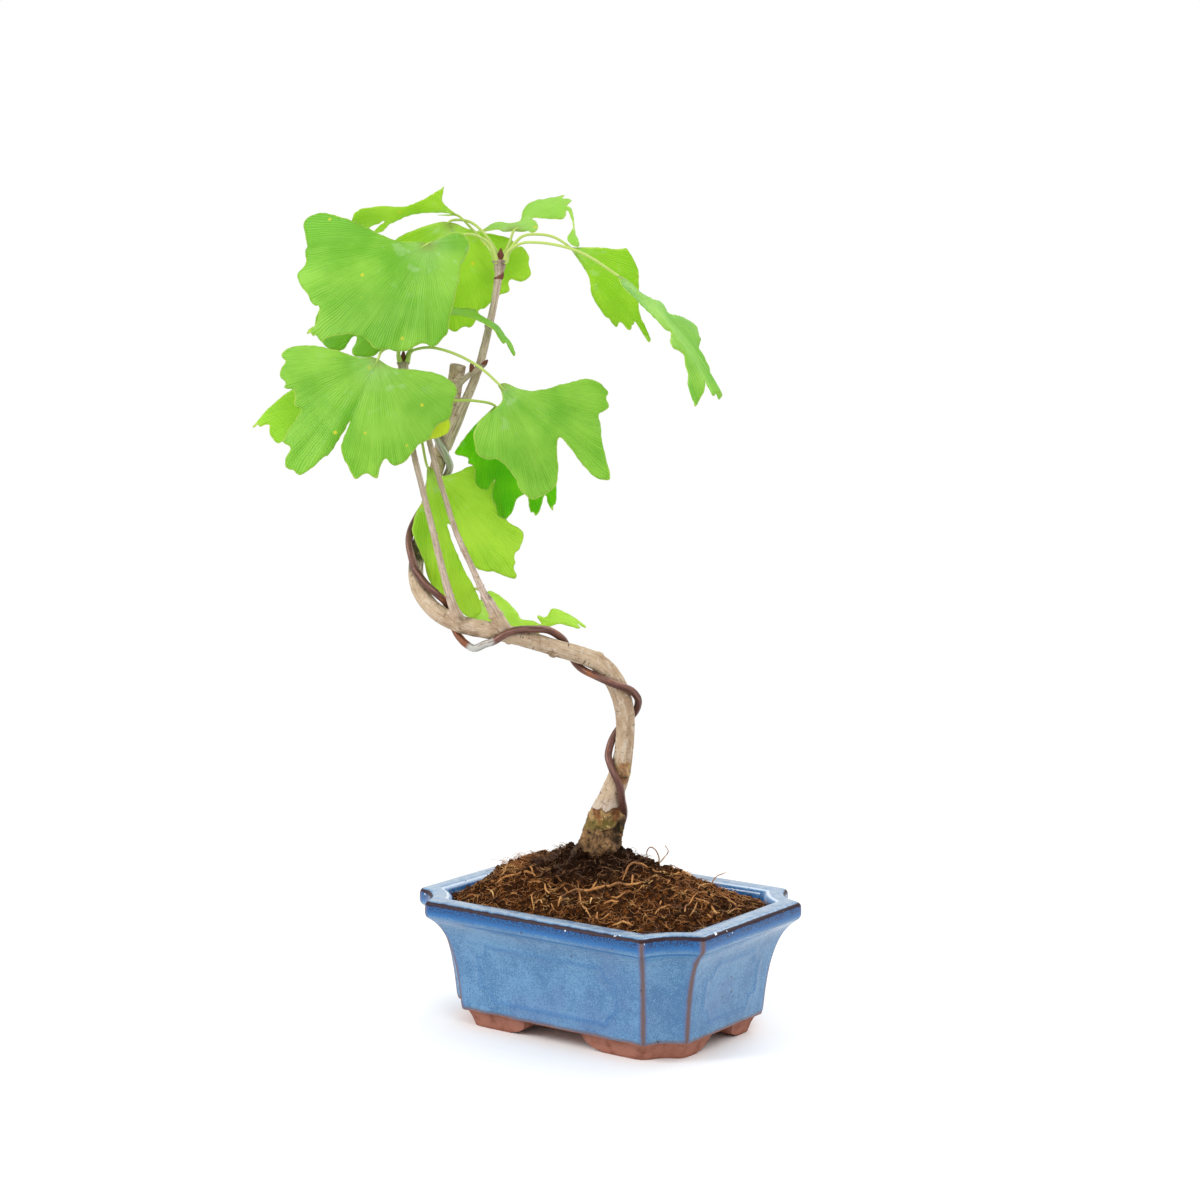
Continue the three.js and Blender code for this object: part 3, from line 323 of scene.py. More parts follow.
def lengthsOf(line):  # distance of each row from the first, along the line
    return np.concatenate([[0], np.cumsum(np.linalg.norm(np.diff(line, axis=0), axis=1))])


def pointsAt(at, steps, line):
    return np.stack([np.interp(at, steps, column) for column in line.T], -1)


def smoothLine(stations, perSpan=12):  # [x, y, z, radius] rows, smoothed through every station
    rows = np.asarray(stations, float)
    points, radii = rows[:, :3], rows[:, 3]
    reach = np.vstack([2 * points[0] - points[1], points, 2 * points[-1] - points[-2]])
    dense = []
    for i in range(len(points) - 1):
        p0, p1, p2, p3 = reach[i:i + 4]
        d0, d1, d2 = (max(np.linalg.norm(b - a), 1e-6) ** 0.5 for a, b in ((p0, p1), (p1, p2), (p2, p3)))
        m1 = ((p1 - p0) / d0 - (p2 - p0) / (d0 + d1) + (p2 - p1) / d1) * d1
        m2 = ((p2 - p1) / d1 - (p3 - p1) / (d1 + d2) + (p3 - p2) / d2) * d1
        last = i == len(points) - 2
        for t in np.linspace(0, 1, perSpan + last, endpoint=last):
            place = ((2 * t ** 3 - 3 * t ** 2 + 1) * p1 + (t ** 3 - 2 * t ** 2 + t) * m1
                     + (3 * t ** 2 - 2 * t ** 3) * p2 + (t ** 3 - t ** 2) * m2)
            dense.append([*place, radii[i] * (1 - t) + radii[i + 1] * t])
    return np.array(dense)


def strandToScene(line):  # a tree line in millimetres as a scene line in metres
    return np.column_stack([treeToScene(line[:, :3]), line[:, 3] * mm])


def nearestOn(points, line):  # index of the nearest row of a line for each point, and the distance
    best, index = np.full(len(points), 1e9), np.zeros(len(points), int)
    for i, row in enumerate(line[:, :3]):
        gap = np.linalg.norm(points - row, axis=1)
        nearer = gap < best
        best[nearer], index[nearer] = gap[nearer], i
    return index, best


def makeSweepTree():  # round stem along each curve, as thick as the curve's radius, with a rough skin
    tree, add, given = startTree("stemSweep", {
        "Sides": 12, "Spacing": 0.001, "Relief": 0.0, "Grain": 300.0, "Seed": 1})

    def marked(geometry, name, kind):
        return add("GeometryNodeStoreNamedAttribute", {
            "Geometry": geometry, "Name": name, "Value": add("GeometryNodeSplineParameter", out=kind)},
            data_type="FLOAT")

    even = add("GeometryNodeResampleCurve", {"Curve": given["Geometry"], "Length": given["Spacing"]}, mode="LENGTH")
    circle = add("GeometryNodeCurvePrimitiveCircle", {"Resolution": given["Sides"], "Radius": 1.0})
    swept = add("GeometryNodeCurveToMesh", {
        "Curve": marked(even, "along", "Length"), "Profile Curve": marked(circle, "around", "Factor"),
        "Scale": add("GeometryNodeInputRadius"), "Fill Caps": True})
    rough = add("GeometryNodeInputPosition").noise(given["Grain"], 3.0, seed=given["Seed"])
    return endTree(tree, given, smoothed(pushed(
        swept, add("GeometryNodeInputNormal"), (rough - 0.5) * given["Relief"])))


sweepTree = makeSweepTree()


def sweep(name, strands, material, sides=12, spacing=1.0, relief=0.0, grain=300.0, seed=1):
    data = bpy.data.curves.new(name + "Line", "CURVE")
    data.dimensions = "3D"
    for strand in strands:
        spline = data.splines.new("POLY")
        spline.points.add(len(strand) - 1)
        for point, (x, y, z, radius) in zip(spline.points, strand):
            point.co, point.radius = (x, y, z, 1), radius
    return runTree(newObject(name + "Line", data), sweepTree, {
        "Sides": sides, "Spacing": spacing * mm, "Relief": relief * mm, "Grain": grain, "Seed": seed,
        "Material": material}, name)


# Pot

potForm = {
    "length": 150, "width": 112, "cornerNotch": 18, "cornerScoop": 4, "notchShrink": 0.36, "scoopShrink": 0.1,
    "drainRadius": 6, "drainSpacing": 68,
    "meshStep": 0.95, "nearWall": 0.3,  # size of the wall's faces, and how far off it they may lie
    "spans": (22, 110, 74),  # faces across a scoop, a long side and a short one
    "panelHeight": 0.36, "panelWidth": 1.5, "panelClip": 6.0, "panelBottom": 14.0, "panelTop": 39.0,
    "panelMargins": (39, 36), "noPanel": 50.0,  # gap stored where there is no wall
    "drainCut": (4, 16), "drainSides": 40,  # heights that the drain holes are cut between
    "arris": (56.2, 1.5),  # height of the lip's outer edge, and the inset that it is looked for within
    "lipInset": 2.4, "lipWidth": 6.6,  # the outline turns from the wall's to the inside's across the lip
    "wall": [[7.5, 14.2], [9, 13.8], [20, 12.6], [30, 11], [38, 8.8], [43, 6.6], [46.4, 4.2], [48.6, 1.8],
             [49.6, 0.6], [51, 0.05], [53.2, 0.0], [55.2, 0.15], [56.4, 0.9], [57, 2.4]],  # [height, inset]
    "rim": [[57.0, 3.6], [57.05, 5.0], [57.0, 6.3]],
    "inside": [[57, 7.6], [56.7, 9.0], [55.8, 10.3], [52, 11.5], [44, 13], [30, 16], [16, 19.4], [13, 22], [12, 25]],
}
insideCorner = (14, 1.5)  # notch and scoop of the bowl's inside


def potOutline(inset, notch, scoop, spans):  # ring round the pot, and the points where its scoops meet the walls
    halfX, halfY = potForm["length"] / 2 - inset, potForm["width"] / 2 - inset
    points, ridges = [], []
    corners = [(1, 1), (-1, 1), (-1, -1), (1, -1)]
    for k, (sx, sy) in enumerate(corners):
        onSide, onEnd = np.array([sx * halfX, sy * (halfY - notch)]), np.array([sx * (halfX - notch), sy * halfY])
        start, end = (onSide, onEnd) if k % 2 == 0 else (onEnd, onSide)
        for i in range(spans[0]):
            t = i / spans[0]
            dip = 4 * t * (1 - t) * scoop * math.sqrt(0.5)
            points.append(start * (1 - t) + end * t + np.array([-sx * dip, -sy * dip]))
        ridges += [start, end]
        nx, ny = corners[(k + 1) % 4]
        following = np.array([nx * (halfX - notch), ny * halfY] if k % 2 == 0
                             else [nx * halfX, ny * (halfY - notch)])
        count = spans[1 + k % 2]
        points += [end + (following - end) * i / count for i in range(count)]
    points = np.array(points)
    for _ in range(2):  # the arrises are rounded by the glaze
        points = (np.roll(points, 1, 0) + 2 * points + np.roll(points, -1, 0)) / 4
    return points, np.array(ridges)


def levelRing(height, *outline):
    ring, _ = potOutline(*outline)
    return np.column_stack([ring, np.full(len(ring), height)])


def panelGap(along, height, halfSpan):  # distance to the line of an oblong with bitten corners on a wall
    clip, bottom, top = (potForm["panel" + n] for n in ("Clip", "Bottom", "Top"))
    u, v = np.abs(along) - halfSpan, np.abs(height - (bottom + top) / 2) - (top - bottom) / 2
    box, corner = np.maximum(u, v), clip - np.hypot(np.minimum(u, 0), np.minimum(v, 0))
    near = (u > -clip) & (v > -clip)
    within = np.abs(np.where(near, np.maximum(box, corner), box))
    beyond = np.hypot(np.maximum(u, 0), np.maximum(v, 0)) + np.where(near, np.maximum(corner, 0) * 0.7, 0)
    return np.where(box < 0, within, beyond)


def makePotBowl():
    form, rings, stored = potForm, [], {"ridgeGap": [], "panelGap": [], "travel": []}
    sizes = form["length"], form["width"]

    def fine(rows):
        line = smoothLine([[h, i, 0, 0] for h, i in rows], 10)[:, :2]
        steps = lengthsOf(line)
        return pointsAt(np.linspace(0, steps[-1], max(2, int(steps[-1] / form["meshStep"]))), steps, line)

    wall = fine(form["wall"])
    profile = np.vstack([wall, form["rim"], fine(form["inside"])])
    arrisHeight, arrisInset = form["arris"]
    arris = int(np.argmin(np.where(profile[:, 1] > arrisInset, np.inf, np.abs(profile[:, 0] - arrisHeight))))
    length = lengthsOf(profile)
    for n, (height, inset) in enumerate(profile):
        inward = np.clip((inset - form["lipInset"]) / form["lipWidth"], 0, 1) if n >= len(wall) else 0
        bowed = min(inset, form["wall"][0][1])
        notch = (1 - inward) * (form["cornerNotch"] - form["notchShrink"] * bowed) + inward * insideCorner[0]
        scoop = (1 - inward) * (form["cornerScoop"] - form["scoopShrink"] * bowed) + inward * insideCorner[1]
        ring, ridges = potOutline(inset, notch, scoop, form["spans"])
        stored["ridgeGap"].append(np.min(np.linalg.norm(ring[:, None] - ridges[None], axis=2), axis=1))
        panels = np.full(len(ring), form["noPanel"])
        for side, run in ((1, 0), (0, 1)) if n < len(wall) else ():  # long walls, then short ones
            on = np.abs(np.abs(ring[:, side]) - (sizes[side] / 2 - inset)) < form["nearWall"]
            panels[on] = panelGap(ring[on, run], height, sizes[run] / 2 - form["panelMargins"][run])
            lift = form["panelHeight"] * np.exp(-(panels[on] / form["panelWidth"]) ** 2)
            ring[on, side] += np.sign(ring[on, side]) * lift
        rings.append(np.column_stack([ring, np.full(len(ring), height)]))
        stored["panelGap"].append(panels)
        stored["travel"].append(np.full(len(ring), length[n] - length[arris]))
    bowl = meshObject("pot", potToScene(np.vstack(rings)), tubeFaces(len(rings[0]), len(rings)))
    for name, values in stored.items():
        storeValues(bowl, name, np.concatenate(values))
    turns = np.linspace(0, 2 * math.pi, form["drainSides"], endpoint=False)
    drain = np.column_stack([np.cos(turns), np.sin(turns)]) * form["drainRadius"]
    for sign in (-1, 1):
        cutWith(bowl, drain + [sign * form["drainSpacing"] / 2, 0], lambda x, y, far: [x, y, far], form["drainCut"])
    return plainMesh(bowl, "potBowl")


cutters = []


def cutWith(obj, profile, place, ends, smooth=True):  # a bar with that profile, from one end to the other
    points = [place(*p, far) for far in ends for p in profile]
    cutter = meshObject("cutter", potToScene(points), tubeFaces(len(profile), 2), smooth)
    turnOut(cutter)
    modifier = obj.modifiers.new("cut", "BOOLEAN")
    modifier.object, modifier.operation, modifier.solver = cutter, "DIFFERENCE", "EXACT"
    cutter.hide_render = True
    cutters.append(cutter)


def turnOut(obj):
    shape = bmesh.new()
    shape.from_mesh(obj.data)
    bmesh.ops.recalc_face_normals(shape, faces=shape.faces)
    shape.to_mesh(obj.data)
    shape.free()


footForm = {
    "section": [[0, 18.2], [3.5, 17.2], [7.5, 15.4], [8.3, 15.4], [8.3, 24.4], [0, 27.2]],  # [height, inset]
    "outline": (12, 2.6, (8, 24, 16)),  # notch, scoop and spans
    "longArch": (24, 15), "shortArch": (15.5, 8),  # half widths at the floor and at the top
    "archFoot": 0.6, "archRise": 6.9, "archSpans": 8, "softening": 0.7,
    "cutHeights": (-2, 12), "cutReach": (-90, 90),  # of the bars that cut the arches
}


def makePotFeet():
    form = footForm
    rings = [levelRing(height, inset, *form["outline"]) for height, inset in form["section"]]
    feet = meshObject("potFeet", potToScene(np.vstack(rings)), bandFaces(len(rings[0]), len(rings), True), False)
    turns = np.linspace(0, math.pi / 2, form["archSpans"] + 1)
    low, high = form["cutHeights"]
    for (floorHalf, topHalf), place in ((form["longArch"], lambda x, z, far: [x, far, z]),
                                        (form["shortArch"], lambda x, z, far: [-far, x, z])):
        side = np.column_stack([floorHalf + (topHalf - floorHalf) * np.sin(turns),
                                form["archFoot"] + form["archRise"] * (1 - np.cos(turns))])
        half = np.vstack([[floorHalf, low], side, [topHalf, high]])
        cutWith(feet, np.vstack([half, half[::-1] * [-1, 1]]), place, form["cutReach"], False)
    bevel = feet.modifiers.new("soft", "BEVEL")
    bevel.width, bevel.segments, bevel.limit_method = form["softening"] * mm, 3, "ANGLE"
    return plainMesh(feet, "potFeet")


glazeLook = {
    "navy": (0.003, 0.022, 0.085), "deep": (0.002, 0.105, 0.32), "blue": (0.045, 0.148, 0.305),
    "pale": (0.112, 0.255, 0.43), "violet": (0.075, 0.12, 0.28), "frost": (0.27, 0.34, 0.42),
    "char": (0.030, 0.013, 0.014), "break": (0.125, 0.066, 0.050), "chip": (0.72, 0.78, 0.88),
    "clay": (0.335, 0.143, 0.10), "clayDark": (0.19, 0.07, 0.045), "gloss": 0.09,
}


def makeGlaze(look):
    material, surface, place, ridge, panel, travel = startMaterial("blueGlaze", "ridgeGap", "panelGap", "travel")
    height = place.height()
    mottle, speck, broad = place.noise(260, 4, 0.6), place.noise(1500, 2, 0.6), place.noise(45, 2)
    ragged = (mottle - 0.5) * 1.6
    fall = travel.ease(-8.6, -1.6) * travel.ease(0.4, 0.0)
    deepened = (fall * 1.25 + (speck - 0.5) * 1.5).ease(0.25, 0.75) * fall.ease(0.0, 0.2)
    flat = travel.ease(0.6, 1.6) * travel.ease(9.4, 8.2)
    within = travel.ease(9.2, 10.4) * mottle.ease(0.3, 0.65, 0.9, 0.45)
    under = abs(travel + 8.3).ease(1.3, 0.2, 0.0, 0.75)
    ringed = panel.ease(1.8, 0.3, 0.0, 0.38) * broad.ease(0.3, 0.6, 0.35, 1.0)
    onWall, corner = travel.ease(1.2, 0.2), ridge + ragged * 0.55
    halo, corner = corner.ease(2.9, 1.2, 0, 0.6) * onWall, corner.ease(1.75, 0.65, 0, 0.9) * onWall
    bottom = (height + ragged * 0.0006).ease(0.0098, 0.0086, 0, 0.6)
    arris = abs(travel + 0.35) + ragged * 0.8
    edge = arris.ease(1.25, 0.6, 0, 0.96)
    glazed = coats(
        look, "blue",  # the wall is a fine two-blue speckle with faint broad clouds
        ((speck * 0.5 + mottle * 0.22 + broad * 0.28).ease(0.42, 0.58), "pale"),
        (place.noise(30, 2).ease(0.5, 0.7, 0, 0.35), "violet"),
        (deepened, "deep"),  # the lip is dark under its arris, breaking in specks to the wall's blue
        (fall.ease(0.55, 1.0) * speck.ease(0.6, 0.42), "navy"),
        (flat * mottle.ease(0.35, 0.65, 0.25, 0.85), "frost"), (within, "deep"), (within * 0.55, "navy"),
        (under.most(ringed), "deep"),  # lines where the glaze thins or pools
        (abs(travel - 8.7).ease(0.8, 0.2, 0, 0.6), "chip"), (halo, "violet"), (corner.most(bottom), "break"),
        (edge, "char"), (place.noise(330, 3).ease(0.68, 0.70) * arris.ease(1.9, 1.0), "chip"),
        (place.cells(105).ease(0.065, 0.04, 0.0, 0.85), "char"))
    bare = (height + (mottle - 0.5) * 0.0018).ease(0.0081, 0.0078)  # clay on the feet
    clay = coats(
        look, "clayDark", (place.noise(160, 4, 0.6).ease(0.25, 0.6), "clay"),
        (place.noise(900, 3, 0.6).ease(0.62, 0.75, 0, 0.5), "clayDark"),
        (height.ease(0.0, 0.0016, 0.6, 0.0), "clayDark"))
    dull = corner.most(edge * 0.5) * 0.5 + mottle.ease(0.3, 0.7, look["gloss"], 0.2)
    feed(surface, {
        "Base Color": coats(look, glazed, (bare, clay)), "Roughness": dull.most(bare * 0.85),
        "Specular IOR Level": edge.most(bare).ease(0.2, 0.9, 0.5, 0.12),
        "Normal": (mottle * 0.8 + speck * bare.ease(0, 1, 0.12, 0.6)).bump(0.3, 0.0006)})
    return material


def makePot():
    bowl, feet = makePotBowl(), makePotFeet()
    for name in ("ridgeGap", "panelGap", "travel"):
        storeValues(feet, name, 40.0)  # far from every line of the wall
    finishPiece(joinPieces("glazedPot", [bowl, feet]), makeGlaze(glazeLook), "glaze", "pot")
    for cutter in cutters:
        bpy.data.objects.remove(cutter)


makePot()
print("pot made")


# Soil

soilForm = {
    "edge": 54.4, "toWall": 11, "edgeInset": 11.2, "rise": 16.5, "spreadX": 58, "spreadY": 42, "rings": 74,
    "middle": 0.03,  # share of the outline at which the rings end
    "clods": 3.4, "crumbs": 2.0, "seed": 7, "tuftBounds": (58, 40), "tuftRadius": 0.1,
    "outline": (*insideCorner, (14, 66, 44)),  # notch, scoop and spans
    "below": [[12.35, 25.3], [13.35, 22.3], [16.3, 19.7], [30.3, 16.3], [44.3, 13.3], [52, 11.9]],  # [height, inset]
    "heaps": [[-13, 5, 5, 6], [-5, 2, 3.0, 6], [5, 8, 3.4, 6], [-17, 15, 4, 8], [9, 20, 1.5, 7], [0, 2, 2.5, 6],
              [51, 9, -4.0, 24], [-60, 17, -2, 14], [-38, 20, 1.2, 12], [30, 25, -4.2, 19], [14, 28, -1.5, 12]],
    "tufts": [[-38, 16, 10, 210, 4.0], [-26, 14, 8, 110, 3.4], [-48, 4, 7, 40, 2.4], [30, -18, 14, 80, 2.6],
              [46, -14, 8, 50, 2.6], [14, 22, 7, 40, 3.0], [-10, -30, 16, 70, 2.4], [34, 4, 8, 50, 2.4]],
}
crumbForm = {
    "soilCrumbs": {"Density": 620000.0, "Size": 0.8 * mm, "Seed": 7},
    "soilLumps": {"Density": 42000.0, "Size": 2.1 * mm, "Roughness": 0.0028, "Fineness": 2, "Seed": 8},
}
hairForm = {
    "rootHairs": {"Density": 170000.0, "Length": 3.4 * mm, "Thickness": 0.075 * mm, "Lift": 2.4 * mm, "Seed": 7},
    "rootFibres": {"Density": 13000.0, "Length": 8 * mm, "Thickness": 0.13 * mm, "Lift": 2.6 * mm, "Seed": 9},
}
trunkFoot = treeToPot([-4, 14, 0])
footMiddle = potToScene(trunkFoot) + [0, 0, 0.07]


def soilHeight(x, y):
    edgeX, edgeY = (potForm[n] / 2 - soilForm["toWall"] for n in ("length", "width"))
    edge = np.minimum(1, (x / edgeX) ** 4 + (y / edgeY) ** 4)
    away = ((x - trunkFoot[0]) / soilForm["spreadX"]) ** 2 + ((y - trunkFoot[1]) / soilForm["spreadY"]) ** 2
    lumps = (0.8 * np.sin(0.31 * x + 1.3) * np.cos(0.27 * y) + 0.6 * np.sin(0.53 * x - 0.41 * y)
             + 0.5 * np.cos(0.72 * y + 0.23 * x))
    high = soilForm["edge"] + (soilForm["rise"] * np.exp(-0.9 * away) + lumps) * (1 - edge * edge)
    for heapX, heapY, rise, spread in soilForm["heaps"]:  # clumps at the trunk's foot and dips, in tree millimetres
        middle = treeToPot([heapX, heapY, 0])
        high = high + rise * np.exp(-((x - middle[0]) ** 2 + (y - middle[1]) ** 2) / spread ** 2 * 2)
    return high


def makeSoilTop():  # rings from the pot's wall to the trunk
    edge = levelRing(0, soilForm["edgeInset"], *soilForm["outline"])[:, :2]
    shares = np.linspace(1, soilForm["middle"], soilForm["rings"])
    rings = [trunkFoot[:2] + (edge - trunkFoot[:2]) * share for share in shares]
    return [np.column_stack([ring, soilHeight(*ring.T)]) for ring in rings]


def makeSoilTree():  # clods and crumbs pushed out of the sheet, less so below the rim
    tree, add, given = startTree("soilRelief", {"Clods": 0.002, "Crumbs": 0.001, "Seed": 1})
    place, seed = add("GeometryNodeInputPosition"), given["Seed"]
    high = ((place.noise(130.0, 4.0, 0.62, seed=seed) - 0.5) * given["Clods"]
            + (place.noise(520.0, 4.0, 0.7, seed=seed) - 0.5) * given["Crumbs"])
    return endTree(tree, given, pushed(given["Geometry"], (0, 0, 1), high * place.height().ramp(0.0535, 0.057)))


def strewn(given, piece, spins, size):  # turned copies of a piece over a sheet
    add = piece.add
    spots = add("GeometryNodeDistributePointsOnFaces", {
        "Mesh": given["Geometry"], "Density": given["Density"], "Seed": given["Seed"]})
    spin = add("FunctionNodeRandomValue", {0: spins[0], 1: spins[1], "Seed": given["Seed"]}, data_type="FLOAT_VECTOR")
    copies = add("GeometryNodeInstanceOnPoints", {"Points": spots, "Instance": piece, "Rotation": spin, "Scale": size})
    return add("GeometryNodeRealizeInstances", {"Geometry": copies})


def makeCrumbTree():  # odd little lumps
    tree, add, given = startTree("soilCrumbs", {
        "Density": 400000.0, "Size": 0.001, "Roughness": 0.0011, "Seed": 1, "Fineness": 1})
    lump = add("GeometryNodeMeshIcoSphere", {"Radius": 1.0, "Subdivisions": given["Fineness"]})
    low, high = (add("ShaderNodeVectorMath", {0: shape, "Scale": given["Size"]}, operation="SCALE")
                 for shape in ((0.25, 0.25, 0.2), (1.25, 1.0, 0.8)))
    size = add("FunctionNodeRandomValue", {0: low, 1: high, "Seed": 3}, data_type="FLOAT_VECTOR")
    crumbs = strewn(given, lump, ((0, 0, 0), (6.3, 6.3, 6.3)), size)
    way = add("GeometryNodeInputPosition").wander(1400.0, 1.0)
    return endTree(tree, given, pushed(crumbs, way, given["Roughness"]))


def makeFibreTree():  # fine root hairs that bend over a sheet
    tree, add, given = startTree("rootFibres", {
        "Density": 60000.0, "Length": 0.009, "Thickness": 0.00018, "Lift": 0.0012, "Seed": 1})
    line = add("GeometryNodeCurvePrimitiveLine", {"Start": (-0.5, 0, 0), "End": (0.5, 0, 0)})
    fine = add("GeometryNodeResampleCurve", {"Curve": line, "Count": 9}, mode="COUNT")
    size = add("FunctionNodeRandomValue", {2: 0.35, 3: 1.5, "Seed": 11}, 1, data_type="FLOAT") * given["Length"]
    place = add("GeometryNodeInputPosition")
    bent = pushed(strewn(given, fine, ((0, -0.25, 0), (0, 0.25, 6.3)), size), place.wander(150.0, 2.0), 0.012)
    near = add("GeometryNodeProximity", {0: given["Geometry"]}, "Position", target_element="FACES")
    lift = add("ShaderNodeCombineXYZ", {2: place.noise(210.0, 1) * given["Lift"]})
    laid = add("GeometryNodeSetPosition", {"Geometry": bent, "Position": near, "Offset": lift})
    belly = (add("GeometryNodeSplineParameter", out="Factor") * 3.0).calc("SINE")
    circle = add("GeometryNodeCurvePrimitiveCircle", {"Resolution": 4, "Radius": 1.0})
    return endTree(tree, given, smoothed(add("GeometryNodeCurveToMesh", {
        "Curve": laid, "Profile Curve": circle, "Scale": (belly + 0.35) * given["Thickness"], "Fill Caps": True})))


soilLook = {
    "dark": (0.009, 0.0033, 0.0013), "brown": (0.048, 0.017, 0.0048), "rust": (0.20, 0.066, 0.013),
    "hairDark": (0.060, 0.021, 0.006), "hair": (0.34, 0.13, 0.028), "hairPale": (0.62, 0.34, 0.11),
    "rootDark": (0.17, 0.062, 0.015), "root": (0.45, 0.20, 0.052), "rootPale": (0.70, 0.42, 0.16),
}


def makePeat(look):
    material, surface, place = startMaterial("peat")
    fine, gap = place.noise(900, 5, 0.7), place.gapTo(footMiddle)
    rusty = place.noise(420, 4, 0.7).ease(0.48, 0.64) * gap.ease(0.022, 0.048, 0.05, 1.0)
    feed(surface, {
        "Base Color": coats(
            look, "dark", ((fine * 0.65 + place.noise(120, 3) * 0.35).ease(0.36, 0.62), "brown"),
            (gap.ease(0.018, 0.036, 0.75, 0.0), "dark"),
            (rusty * place.noise(55, 2).ease(0.38, 0.6, 0.25, 1.0), "rust")),
        "Roughness": 0.95, "Specular IOR Level": 0.08, "Normal": fine.bump(0.7, 0.0008)})
    return material


def makeRootSkin(name, kind, look):
    material, surface, place = startMaterial(name)
    dark = kind + "Dark"
    feed(surface, {"Roughness": 0.75, "Base Color": coats(
        look, dark, (place.noise(90, 2).ease(0.34, 0.54), kind), (place.noise(140, 3).ease(0.53, 0.68), kind + "Pale"),
        (place.noise(900, 3).ease(0.5, 0.75, 0, 0.6), dark),
        (place.gapTo(footMiddle).ease(0.018, 0.036, 0.8, 0.0), dark))})
    return material


